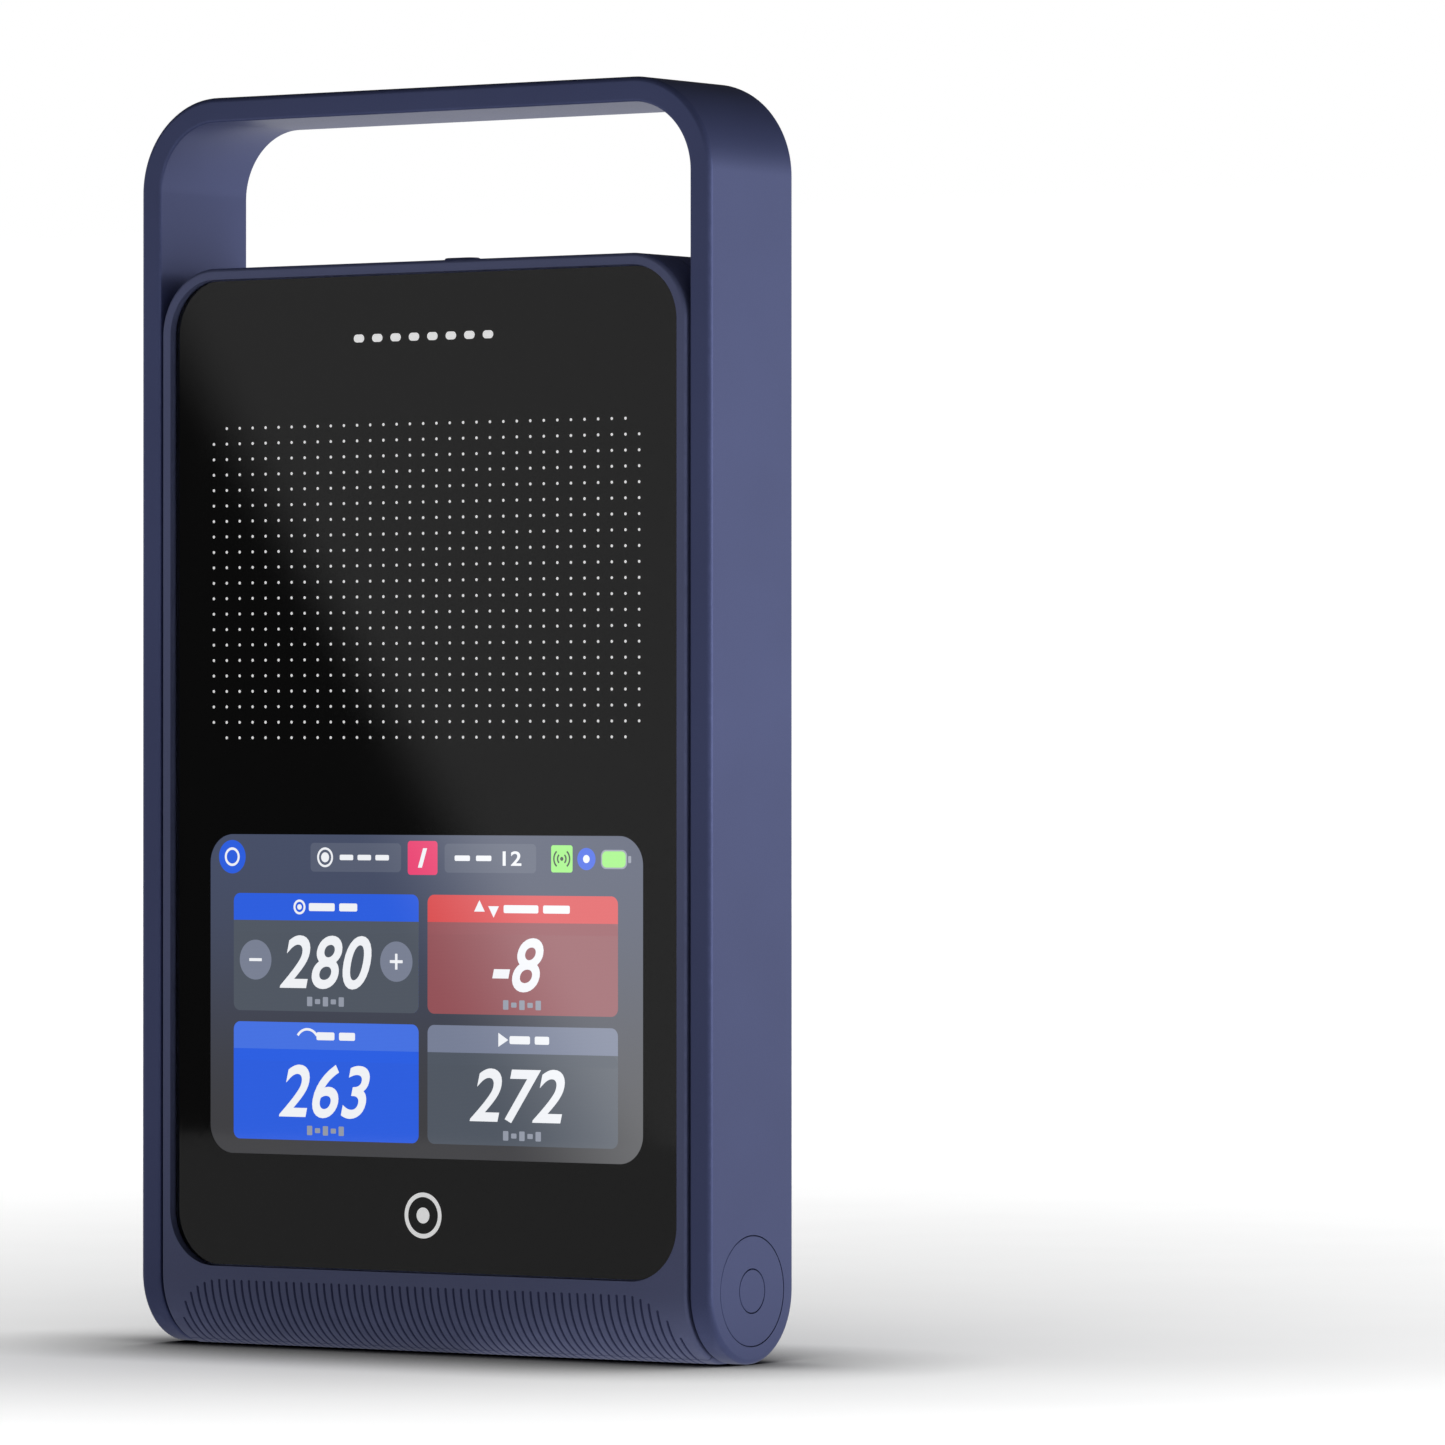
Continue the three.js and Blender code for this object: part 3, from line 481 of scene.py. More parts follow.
def rubber(name, colour, roughness=0.78, grain_mm=0.3):
    """Matt rubber with a fine skin, in dusty and slightly shinier patches."""
    material, tree, place = new_material(name)
    skin = noise(tree, place, 1 / grain_mm, 4.0, 0.65)
    cloud = remap(tree, noise(tree, place, 0.12, 4.0), 0.35, 0.7)
    base = blend_colours(tree, times(tree, cloud, 0.5), colour, scaled(colour, 1.25, 0.006))
    rubbed = remap(tree, cloud, 0.0, 1.0, roughness - 0.08, roughness + 0.08)
    relief = bumped(tree, skin, 0.02, 0.8)
    return finished(material, base, rubbed, relief, {"Specular IOR Level": 0.35})


def metal(name, colour, roughness=0.3, stretch=(1, 1, 20), streak_mm=0.25):
    """Bare metal with fine streaks and faint stains; stretch says how much finer the streaks are per axis."""
    material, tree, place = new_material(name)
    squeezed = add(tree, "Mapping", {"Vector": place, "Scale": stretch}).outputs[0]
    streaks = noise(tree, squeezed, 1 / streak_mm / 10, 4.0, 0.7)
    stain = remap(tree, noise(tree, place, 0.08, 5.0), 0.4, 0.75)
    base = blend_colours(tree, stain, colour, scaled(colour, 0.78))
    rough = remap(tree, streaks, 0.3, 0.7, roughness - 0.08, roughness + 0.12)
    relief = bumped(tree, streaks, 0.01, 0.5)
    return finished(material, base, rough, relief, {"Metallic": 1.0})


WHITE = (1, 1, 1, 1)
GLASS_IOR = 1.5
MIRROR_FROM_IN_FRONT = 0.045
PIXEL = 0.27  # pitch of the display's pixels
LINE_PITCH = 0.8  # of the copper in a ribbon cable


def clear_glass():
    """Cover glass: light passes straight through, and its outer faces reflect at grazing angles.

    The reflection that it shows from in front is carried by the print and the display behind it.
    """
    material, tree, place = new_material("cover_glass")
    smear = remap(tree, noise(tree, place, 0.05, 4.0), 0.4, 0.8, 0.015, 0.05)
    gloss = add(tree, "BsdfAnisotropic", {"Color": WHITE, "Roughness": smear}).outputs[0]
    through = add(tree, "BsdfTransparent").outputs[0]
    outer = math_node(tree, "SUBTRACT", 1.0, add(tree, "NewGeometry").outputs["Backfacing"])
    mirror = add(tree, "Fresnel", {"IOR": GLASS_IOR}).outputs[0]
    grazing = math_node(tree, "SUBTRACT", mirror, MIRROR_FROM_IN_FRONT, clamp=True)
    surface(tree, add(tree, "MixShader", {0: times(tree, grazing, outer), 1: through, 2: gloss}).outputs[0])
    return material


def ink(name, colour, roughness=0.03, glow=0.0):
    """Screen-printed ink on the back of the glass, with a faint mottle and the shine of the glass. A glow
    above nought is painted light: the ink then gives light of its own colour.
    """
    material, tree, place = new_material(name)
    mottle = remap(tree, noise(tree, place, 1.5, 3.0), 0.3, 0.7, 0.92, 1.08)
    base = blend_colours(tree, 1.0, colour, mottle, "MULTIPLY")
    smear = remap(tree, noise(tree, place, 0.05, 4.0), 0.4, 0.8, roughness, roughness + 0.02)
    return finished(material, base, smear, more={"Emission Color": colour, "Emission Strength": glow})


def lit(name, top, bottom=None, low=None, high=None):
    """A lit area of the display: a vertical ramp of colour between two heights, with a fine pixel grid.

    Over its upper right lies a painted reflection: a pale slanting band of light added on top of the picture.
    """
    material, tree, place = new_material(name)
    x, y, z = axes_of(tree, place)
    colour = top
    if bottom:
        colour = blend_colours(tree, remap(tree, z, low * MM, high * MM, smooth=True), bottom, top)
    waves = [math_node(tree, "SINE", times(tree, axis, 2 * math.pi / (PIXEL * MM))) for axis in (x, z)]
    level = times(tree, *[remap(tree, wave, -1.0, 1.0, 0.97, 1.03) for wave in waves])
    slant = math_node(tree, "ADD", x, times(tree, z, 0.6))
    # painted reflection: pale light added in a slanting band over the upper right
    painted_reflection_start = 0.6 * SCREEN_Z
    painted_reflection_strength = remap(tree, slant, painted_reflection_start * MM, (painted_reflection_start + 42) * MM, 0.0, 0.11, smooth=True)
    glow = add(tree, "Emission", {"Color": colour, "Strength": level}).outputs[0]
    painted_reflection = add(tree, "Emission", {"Color": (0.95, 0.97, 1, 1), "Strength": painted_reflection_strength}).outputs[0]
    both = add(tree, "AddShader", {0: glow, 1: painted_reflection}).outputs[0]
    shine = add(tree, "BsdfAnisotropic", {"Color": WHITE, "Roughness": 0.03}).outputs[0]
    mirror = add(tree, "Fresnel", {"IOR": GLASS_IOR}).outputs[0]
    surface(tree, add(tree, "MixShader", {0: mirror, 1: both, 2: shine}).outputs[0])
    return material


def circuit_board():
    """Green solder mask over copper tracks, with tinned pads."""
    material, tree, place = new_material("circuit_board")
    x, y, z = axes_of(tree, place)
    across = add(tree, "CombineXYZ", {0: x, 1: z}).outputs[0]
    brick = {"Vector": across, "Scale": 0.35 / MM, "Mortar Size": 0.06, "Color1": (0, 0, 0, 1),
             "Color2": (0.5, 0.5, 0.5, 1), "Mortar": WHITE}
    tracks = add(tree, "TexBrick", brick).outputs["Color"]
    cells = add(tree, "TexVoronoi", {"Vector": across, "Scale": 0.45 / MM}, distance="CHEBYCHEV").outputs
    pads = remap(tree, cells["Distance"], 0.1, 0.14, 1.0, 0.0)
    mask = blend_colours(tree, 0.5, (0.012, 0.07, 0.03, 1), (0.02, 0.12, 0.05, 1))
    mask = blend_colours(tree, tracks, mask, (0.035, 0.19, 0.08, 1))
    base = blend_colours(tree, pads, mask, (0.72, 0.71, 0.68, 1))
    relief = bumped(tree, add(tree, "RGBToBW", {0: tracks}).outputs[0], 0.03, 0.6)
    rough = remap(tree, pads, 0.0, 1.0, 0.35, 0.25)
    return finished(material, base, rough, relief, {"Metallic": pads})


def battery_wrap():
    """Glossy shrink wrap over flat cells: faint wrinkles and a paler seam along the middle."""
    material, tree, place = new_material("battery_wrap")
    x = axes_of(tree, place)[0]
    stretched = add(tree, "Mapping", {"Vector": place, "Scale": (0.3, 1, 2.5)}).outputs[0]
    wrinkles = noise(tree, stretched, 0.35, 5.0, 0.6)
    seam = remap(tree, math_node(tree, "ABSOLUTE", x), 0.5 * MM, 1.1 * MM, 1.0, 0.0, smooth=True)
    base = blend_colours(tree, remap(tree, wrinkles, 0.3, 0.7), tone(28, 46, 84), tone(40, 62, 106))
    base = blend_colours(tree, times(tree, seam, 0.5), base, tone(70, 92, 140))
    relief = bumped(tree, seam, 0.1, 0.6, bumped(tree, wrinkles, 0.25, 0.5))
    rough = remap(tree, wrinkles, 0.3, 0.7, 0.25, 0.4)
    return finished(material, base, rough, relief, {"Coat Weight": 0.3})


def ribbon_cable():
    """Amber polyimide film over parallel copper lines."""
    material, tree, place = new_material("ribbon_cable")
    x = axes_of(tree, place)[0]
    lines = math_node(tree, "SINE", times(tree, x, 2 * math.pi / (LINE_PITCH * MM)))
    copper = remap(tree, lines, -0.1, 0.2)
    base = blend_colours(tree, copper, tone(170, 104, 38), tone(214, 142, 62))
    film = noise(tree, place, 1.2, 4.0)
    relief = bumped(tree, copper, 0.03, 0.6, bumped(tree, film, 0.02, 0.4))
    rough = remap(tree, film, 0.3, 0.7, 0.28, 0.45)
    return finished(material, base, rough, relief, {"Coat Weight": 0.4})


SHELL = moulded_plastic("shell_plastic", (0.146, 0.166, 0.318, 1), 0.45, pearl=0.4)
BAND_PLASTIC = moulded_plastic("band_plastic", (0.094, 0.114, 0.262, 1), 0.4, pearl=0.45)
COVER_PLASTIC = moulded_plastic("cover_plastic", (0.140, 0.158, 0.300, 1), 0.42, pearl=0.4)
MARK_PLASTIC = moulded_plastic("mark_plastic", (0.092, 0.108, 0.235, 1), 0.5, pearl=0.3)
PAD_RUBBER = rubber("pad_rubber", (0.105, 0.120, 0.225, 1))
BLACK_RUBBER = rubber("black_rubber", (0.012, 0.012, 0.013, 1))
GLASS = clear_glass()
BLACK_INK = ink("black_ink", (0.002, 0.002, 0.002, 1))
# The pale ink glows a little: painted light on the radar dots and the panel marks.
PALE_INK_PAINTED_GLOW = ink("pale_ink_painted_glow", (0.8, 0.8, 0.8, 1), glow=0.5)
DISPLAY_GLASS = ink("display_glass", (0.01, 0.011, 0.014, 1), 0.12)
CIRCUIT = circuit_board()
STEEL = metal("steel", (0.56, 0.57, 0.58, 1), 0.3, (20, 1, 1))
TIN = metal("tinplate", (0.66, 0.67, 0.69, 1), 0.26, (1, 1, 12))
BRONZE = metal("sintered_bronze", (0.52, 0.33, 0.14, 1), 0.42, (3, 3, 3), 0.12)
CHASSIS = metal("chassis_aluminium", (0.48, 0.49, 0.51, 1), 0.4, (8, 1, 1))
CHARCOAL = moulded_plastic("charcoal_plastic", (0.022, 0.024, 0.028, 1), 0.55, 0.3, 0.015, 0.2)
BATTERY = battery_wrap()
RIBBON = ribbon_cable()


# ---- Housing ----
def arch(half, bottom, top, radius):
    """Open outline of the housing or a hollow in it: up one side, over the rounded top and down the other."""
    def outline(inset):
        side, high, bend = half - inset, top - inset, radius - inset
        return ([(side, bottom)] + arc(side - bend, high - bend, bend, 0, 90)
                + arc(-side + bend, high - bend, bend, 90, 180) + [(-side, bottom)])

    return outline


def slab_on_drum(name, outline, half_depth, edge):
    """A slab whose bottom is a half drum about the pivot line, as deep as the slab."""
    pairs = rim(-half_depth, half_depth, edge)
    middle = len(pairs) // 2
    pairs = pairs[:middle] + [(0.0, 0.0)] + pairs[middle:]
    rings = [[(x, y, z) for x, z in outline(inset)] for y, inset in pairs]
    count = len(rings[0])
    points = points_of(rings)
    faces = bridges(rings, closed=False)
    faces += [tuple(range(count)), tuple(range(len(points) - count, len(points)))]
    half_profile = [(-y, outline(inset)[0][0]) for y, inset in pairs[:middle + 1]]
    profile = half_profile[::-1] + [(r, -x) for r, x in half_profile]
    drum = [[(x, -r * c, PIVOT_Z - r * s) for r, x in profile] for c, s in fan(0, 180, DRUM_STEPS)]
    faces += shifted(bridges(drum, closed=False), len(points))
    return make_object(name, points + points_of(drum), faces)


def rib_path(along, depth):
    """Place of a point on the rib path: down the back, round the bottom and up to the front.

    along is the distance above the pivot line on the back. Below that line it goes on round the bottom.
    """
    radius = BODY_BACK - depth
    if along >= 0:
        return radius, PIVOT_Z + along
    c, s = polar(math.degrees(-along / BODY_BACK))
    return radius * c, PIVOT_Z - radius * s


def groove_lid(side_count, count):
    """Faces that close one level of a groove cutter: quads between the sides and a face at each end."""
    first = GROOVE_END_STEPS + 1
    last = first + side_count - 1
    faces = [(*range(first + 1), count - 1)]
    for i in range(side_count - 1):
        faces.append((first + i, first + i + 1, count - 2 - i, count - 1 - i))
    return faces + [tuple(range(last, last + GROOVE_END_STEPS + 3))]


def rib_cutters():
    """One solid groove cutter for every groove, joined in one object."""
    half_turn = math.pi * BODY_BACK
    bottom_steps = [-half_turn * i / DRUM_STEPS for i in range(DRUM_STEPS)]
    points, faces = [], []
    for i in range(RIB_GROOVES):
        x = (i - (RIB_GROOVES - 1) / 2) * RIB_PITCH
        past = max(0.0, abs(x) - RIB_CORNER_X)
        drop = RIB_CORNER - math.sqrt(RIB_CORNER ** 2 - past ** 2)
        top = RIB_TOP - PIVOT_Z - drop
        end = -half_turn + RIB_FRONT_DROP + drop
        steps = [s for s in bottom_steps if s > end + RIB_GROOVE]
        rings = []
        for depth, half in RIB_LEVELS:
            side = [(half, s) for s in steps]
            ring = arc(0, top - half, half, 0, 180, GROOVE_END_STEPS) + [(-w, s) for w, s in side]
            ring += arc(0, end + half, half, 180, 360, GROOVE_END_STEPS) + side[::-1]
            rings.append([(x + w, *rib_path(s, depth)) for w, s in ring])
        count = len(rings[0])
        lid = groove_lid(len(steps), count)
        lids = lid + shifted(lid, (len(rings) - 1) * count)
        faces += shifted(bridges(rings) + lids, len(points))
        points += points_of(rings)
    cutters = make_object("rib_cutters", points, faces)
    return carve(cutters, [tool(cover_pill(COVER_PLAY + COVER_MARGIN), BODY_BACK - 3, BODY_BACK + 3)])


def cover_pill(play):
    """Outline of the port cover, grown by some play."""
    return stadium(COVER_HIGH.x + play, COVER_HALF_HEIGHT + play, COVER_Z)


def housing_tools(low_y, high_y):
    """What turns the body into one shell: the hollow, and all outside low_y..high_y or below the floor."""
    hollow = arch(CAVITY_SIDE, PIVOT_Z, CAVITY_TOP, CAVITY_SIDE - CORNER_X)
    return [
        slab_on_drum("tool", hollow, CAVITY_BACK, 0),
        block("tool", (-FAR, -FAR, -FAR), (FAR, FAR, 0)),
        block("tool", (-FAR, -2 * FAR, -FAR), (FAR, low_y, FAR)),
        block("tool", (-FAR, high_y, -FAR), (FAR, 2 * FAR, FAR)),
    ]


def body_solid(name):
    outline = arch(BODY_SIDE, PIVOT_Z, BODY_TOP, BODY_SIDE - CORNER_X)
    return slab_on_drum(name, outline, BODY_BACK, BODY_EDGE)


def front_housing(ribs):
    shell = carve(body_solid("front_housing"), housing_tools(-FAR, SEAM_Y - SEAM_GAP / 2))
    half = PANEL_HIGH.x + RECESS_PLAY
    ledge = -BODY_BACK + RECESS_DEPTH
    low, high = PANEL_LOW.z, PANEL_HIGH.z
    recess = rounded(half, low - RECESS_PLAY, high + RECESS_PLAY, half - CORNER_X)
    window = rounded(half - WINDOW_MARGIN, low + WINDOW_MARGIN, high - WINDOW_MARGIN, WINDOW_CORNER)
    carve(shell, [tool(recess, -FAR, ledge), tool(window, -FAR, -CAVITY_BACK + 1)])
    bosses = [tool(disc(BOSS_RADIUS, x, z, BOSS_STEPS), ledge, SEAM_Y - BOSS_PLAY) for x, z in BOSS_PLACES]
    carve(shell, bosses, "UNION")
    mount(carve(shell, [ribs]), "housing", "shell", SHELL, "front_shell")


def rear_housing(ribs):
    half = DOOR_HIGH.x + DOOR_GAP
    door = rounded(half, DOOR_BOTTOM, DOOR_TOP, half - CORNER_X)
    bay = rounded(half - BAY_MARGIN, DOOR_BOTTOM + BAY_MARGIN, DOOR_TOP - BAY_HEADROOM, BAY_CORNER)
    button = stadium(BUTTON_HALF[0] + SEAM_GAP, BUTTON_HALF[1] + SEAM_GAP)
    tools = [
        tool(door, BODY_BACK - DOOR_LEDGE, FAR),
        tool(bay, 0, FAR),
        tool(cover_pill(COVER_PLAY), BODY_BACK - COVER_THICK - COVER_PLAY, FAR),
        tool(stadium(*PORT_HALF, COVER_Z), 0, FAR),
        upright("tool", button, CAVITY_TOP - 1, FAR),
    ]
    bush_hole = BUSH_HIGH.z - PIVOT_Z + SEAM_GAP
    tools += [pivot_cylinder(side, bush_hole, BODY_SIDE / 2, FAR) for side in (-1, 1)]
    tools.append(ribs)  # last, because the cuts get slow once the grooves are in
    shell = carve(body_solid("rear_housing"), housing_tools(SEAM_Y + SEAM_GAP / 2, FAR))
    mount(carve(shell, tools), "housing", "shell", SHELL, "rear_shell")


rear_ribs = rib_cutters()
front_ribs = copy_of(rear_ribs, "front_rib_cutters")
front_housing(front_ribs)
rear_housing(rear_ribs)


# ---- Rear door, port cover and power button ----
TAB_PLACES, TAB_HALF_WIDTH = (-36, 0, 36), 5
TAB_LOW, TAB_HIGH = 0.6, 1.8  # above the lower edge of the battery bay
BAR_COUNT, BAR_PITCH = 9, 10
BAR_HALF = (3.2, 4.4)
BAR_LEAN = 0.25
BAR_RISE, BAR_ROOT = 0.35, 0.5
RING_RADIUS, RING_HOLE = 2.1, 1.6
RING_RISE = 0.15


def slanted_bar(cx, cz, half_width, half_height, lean):
    """Outline function of a bar whose top leans to one side; seen from behind that side is the right."""
    def outline(inset):
        w, h = half_width - inset, half_height - inset
        shift = -lean * h
        low, high = cx - shift, cx + shift
        return [(low - w, cz - h), (low + w, cz - h), (high + w, cz + h), (high - w, cz + h)]

    return outline


def rear_door():
    half = DOOR_HIGH.x
    outline = rounded(half, DOOR_LOW.z, DOOR_HIGH.z, half - CORNER_X)
    door = plate("battery_door", outline, BODY_BACK - DOOR_THICK, BODY_BACK, DOOR_EDGE)
    tabs = []
    edge = DOOR_BOTTOM + BAY_MARGIN
    for x in TAB_PLACES:
        low = (x - TAB_HALF_WIDTH, DOOR_LOW.y, edge + TAB_LOW)
        tabs.append(block("tool", low, (x + TAB_HALF_WIDTH, BODY_BACK - 1, edge + TAB_HIGH)))
    mount(carve(door, tabs, "UNION"), "rear_door", "cover", COVER_PLASTIC, "rear_door")


def door_marks():
    """A row of plain slanted bars, moulded proud of the door."""
    middle = (DOOR_LOW.z + DOOR_HIGH.z) / 2
    parts = []
    for i in range(BAR_COUNT):
        bar = slanted_bar((i - (BAR_COUNT - 1) / 2) * BAR_PITCH, middle, *BAR_HALF, BAR_LEAN)
        parts.append(tool(bar, BODY_BACK - BAR_ROOT, BODY_BACK + BAR_RISE, 0.15, 3))
    mount(join("door_marks", parts), "rear_door", "cover", MARK_PLASTIC)


def port_cover():
    cover = plate("port_pill", cover_pill(0), BODY_BACK - COVER_THICK, BODY_BACK, COVER_EDGE)
    plug = tool(stadium(*PORT_PLUG_HALF, COVER_Z), COVER_LOW.y, BODY_BACK - 1)
    ring = tool(disc(RING_RADIUS, 0, COVER_Z, 48), BODY_BACK - 0.5, BODY_BACK + RING_RISE, 0.1, 2)
    carve(cover, [plug, ring], "UNION")
    carve(cover, [tool(disc(RING_HOLE, 0, COVER_Z, 48), BODY_BACK - 0.1, FAR)])
    mount(cover, "port_cover", "cover", COVER_PLASTIC, "port_cover")


def power_button():
    low = BUTTON_LOW.z
    cap = upright("button_cap", stadium(*BUTTON_HALF), low + BUTTON_EDGE, BUTTON_HIGH.z, BUTTON_EDGE)
    flange = upright("tool", stadium(BUTTON_HIGH.x, BUTTON_HIGH.y), low, low + BUTTON_FLANGE_THICK)
    mount(carve(cap, [flange], "UNION"), "power_button", "cover", COVER_PLASTIC, "power_button")


rear_door()
door_marks()
port_cover()
power_button()


# ---- Handle ----
def band_section():
    """Half of the band's cross section: distance in from the outer face, and depth from the middle."""
    turns, depth = fan(0, 90, EDGE_STEPS), BAND_BACK
    outer = [(OUTER_EDGE * (1 - c), depth - OUTER_EDGE * (1 - s)) for c, s in turns]
    inner = [(BAND - INNER_EDGE * (1 - s), depth - INNER_EDGE * (1 - c)) for c, s in turns]
    return [(0.0, 0.0)] + outer + inner + [(BAND, 0.0)]


def handle_solid():
    """The band as one mesh: a round end on each arm and the swept hoop between them."""
    half = band_section()
    loop = [(inset, -depth) for inset, depth in half] + [(inset, depth) for inset, depth in half[-2:0:-1]]
    rings = [[(HALF_WIDTH - inset, y, PIVOT_Z) for inset, y in loop]]
    for side, start in ((1, 0), (-1, 90)):
        for c, s in fan(start, start + 90, BEND_STEPS):
            rings.append([(side * CORNER_X + (HANDLE_CORNER - n) * c, y, CORNER_Z + (HANDLE_CORNER - n) * s)
                          for n, y in loop])
    rings.append([(-HALF_WIDTH + inset, y, PIVOT_Z) for inset, y in loop])
    points, faces = points_of(rings), bridges(rings)
    for side in (-1, 1):
        end = [[(side * (HALF_WIDTH - n), -d * c, PIVOT_Z - d * s) for n, d in half]
               for c, s in fan(0, 180, DRUM_STEPS)]
        faces += shifted(bridges(end, closed=False), len(points))
        points += points_of(end)
    return make_object("handle", points, faces)


def corner_strip(side, near, far):
    """Outline function of the strip that follows the outer face round one upper corner."""
    def outline(inset):
        inner, outer = HANDLE_CORNER - far + inset, HANDLE_CORNER - near - inset
        middle, cap = (inner + outer) / 2, (outer - inner) / 2
        points = arc(CORNER_X, CORNER_Z, outer, 0, 90)
        points += arc(CORNER_X - PAD_END, CORNER_Z + middle, cap, 90, 270, PAD_END_STEPS)
        points += arc(CORNER_X, CORNER_Z, inner, 90, 0)
        points += arc(CORNER_X + middle, CORNER_Z - PAD_END, cap, 180, 360, PAD_END_STEPS)
        return [(side * x, z) for x, z in points]

    return outline


def foot_strip(side, near, far, play=0.0):
    """Outline function of the upright strip near the foot of one arm."""
    def outline(inset):
        middle, cap = HALF_WIDTH - (near + far) / 2, (far - near) / 2 - inset
        low = FOOT_LOW.z - PAD_PLAY + play + inset + cap
        high = FOOT_HIGH.z + PAD_PLAY - play - inset - cap
        points = arc(middle, high, cap, 0, 180, PAD_END_STEPS)
        points += arc(middle, low, cap, 180, 360, PAD_END_STEPS)
        return [(side * x, z) for x, z in points]

    return outline


def handle():
    near, far = PAD_OFFSET, PAD_OFFSET + PAD_GROOVE
    floor_y = BAND_BACK - PAD_DEPTH
    tools = []
    for side in (-1, 1):
        tools += [
            pivot_cylinder(side, CAP_RADIUS + CAP_PLAY, HALF_WIDTH - CAP_SEAT_DEPTH, FAR),
            pivot_cylinder(side, BOLT_SEAT_RADIUS, HALF_WIDTH - BOLT_SEAT_DEPTH, FAR),
            pivot_cylinder(side, BORE_RADIUS, HALF_WIDTH - 2 * BAND, FAR),
            tool(corner_strip(side, near, far), floor_y, FAR),
            tool(foot_strip(side, near, far), floor_y, FAR),
        ]
    mount(carve(handle_solid(), tools), "handle", "band", BAND_PLASTIC, "handle_band")


def pads(side, name):
    near, far = PAD_OFFSET + PAD_PLAY, PAD_OFFSET + PAD_GROOVE - PAD_PLAY
    corner, foot = corner_strip(side, near, far), foot_strip(side, near, far, PAD_PLAY)
    for kind, outline in (("corner", corner), ("foot", foot)):
        strip = plate(f"{kind}_strip_{name}", outline, BAND_BACK - PAD_DEPTH + PAD_LIFT, BAND_BACK, PAD_EDGE)
        mount(strip, "handle", "pad", PAD_RUBBER, f"{kind}_pad_{name}")


def pivot_discs(side, name):
    """The ring-shaped cap on one arm's end and the plug in its middle."""
    outside, inside = HALF_WIDTH, HALF_WIDTH - CAP_THICK
    hole = PLUG_RADIUS + CAP_PLAY
    lip = [(hole + CAP_LIP * (1 - c), outside - CAP_LIP * (1 - s)) for c, s in fan(90, 0, 3)]
    turns = fan(0, 90, EDGE_STEPS)
    for piece, node, radius, inner, end in (("disc", "pivot_cap", CAP_RADIUS, hole, lip + [(hole, inside)]),
                                            ("plug", "cap_plug", PLUG_RADIUS, 0, [(0, outside)])):
        edge = [(radius - CAP_EDGE * (1 - c), outside - CAP_EDGE * (1 - s)) for c, s in turns]
        made = turned(f"pivot_{piece}_{name}", [(inner, inside), (radius, inside)] + edge + end, side)
        mount(made, "handle", "band", BAND_PLASTIC, f"{node}_{name}")


handle()
for side, name in ((-1, "left"), (1, "right")):
    pads(side, name)
    pivot_discs(side, name)


# ---- Panel ----
GLASS_BACK = PANEL_LOW.y + GLASS_THICK
PRINT_FRONT = GLASS_BACK + 0.03
PRINT_BACK = PANEL_HIGH.y - 0.05
DOT_FRONT = GLASS_BACK + 0.015
GLASS_EDGE = 0.2
PRINT_INSET = 0.1
DASH_COUNT, DASH_PITCH = 8, 4.6
DASH_HALF = (1.3, 0.8)
DASH_CORNER = 0.79
DASH_Z, TARGET_Z = 204.1, 28
TARGET_RADIUS, TARGET_WIDTH, TARGET_DOT = 4.6, 0.9, 1.6
panel_outline = rounded(PANEL_HIGH.x, PANEL_LOW.z, PANEL_HIGH.z, PANEL_HIGH.x - CORNER_X)
screen_outline = rounded(SCREEN_HALF[0], SCREEN_Z - SCREEN_HALF[1], SCREEN_Z + SCREEN_HALF[1], SCREEN_CORNER)


def panel():
    glass = plate("panel_glass", panel_outline, PANEL_LOW.y, GLASS_BACK, GLASS_EDGE)
    mount(glass, "housing", "panel", GLASS, "front_panel")
    sheet = plate("panel_print", lambda inset: panel_outline(inset + PRINT_INSET), PRINT_FRONT, PRINT_BACK)
    mount(carve(sheet, [tool(screen_outline, -FAR, FAR)]), "housing", "panel", BLACK_INK)


def radar_dots():
    """The dot pattern printed over the radar, without its four corners."""
    points, faces = [], []
    ring = disc(DOT_RADIUS, steps=DOT_STEPS)(0)
    for row in range(DOT_ROWS):
        for column in range(DOT_COLUMNS):
            if row in (0, DOT_ROWS - 1) and column in (0, DOT_COLUMNS - 1):
                continue
            x = (column - (DOT_COLUMNS - 1) / 2) * DOT_PITCH[0]
            z = DOT_CENTRE_Z + (row - (DOT_ROWS - 1) / 2) * DOT_PITCH[1]
            rings = [[(x + u, y, z + v) for u, v in ring] for y in (DOT_FRONT, PRINT_FRONT + 0.05)]
            caps = [tuple(range(DOT_STEPS)), tuple(range(DOT_STEPS, 2 * DOT_STEPS))]
            faces += shifted(bridges(rings) + caps, len(points))
            points += points_of(rings)
    mount(make_object("radar_dots", points, faces), "housing", "panel", PALE_INK_PAINTED_GLOW)


def panel_marks():
    """Plain marks: a row of short dashes near the top and a ring with a dot under the screen."""
    half, rise = DASH_HALF
    places = [(i - (DASH_COUNT - 1) / 2) * DASH_PITCH for i in range(DASH_COUNT)]
    outlines = [rounded(half, DASH_Z - rise, DASH_Z + rise, DASH_CORNER, cx=x) for x in places]
    outlines += [disc(TARGET_RADIUS, 0, TARGET_Z, 64), disc(TARGET_DOT, 0, TARGET_Z, 48)]
    parts = [tool(outline, DOT_FRONT, PRINT_BACK) for outline in outlines]
    carve(parts[DASH_COUNT], [tool(disc(TARGET_RADIUS - TARGET_WIDTH, 0, TARGET_Z, 64), -FAR, FAR)])
    mount(join("panel_marks", parts), "housing", "panel", PALE_INK_PAINTED_GLOW)


panel()
radar_dots()
panel_marks()


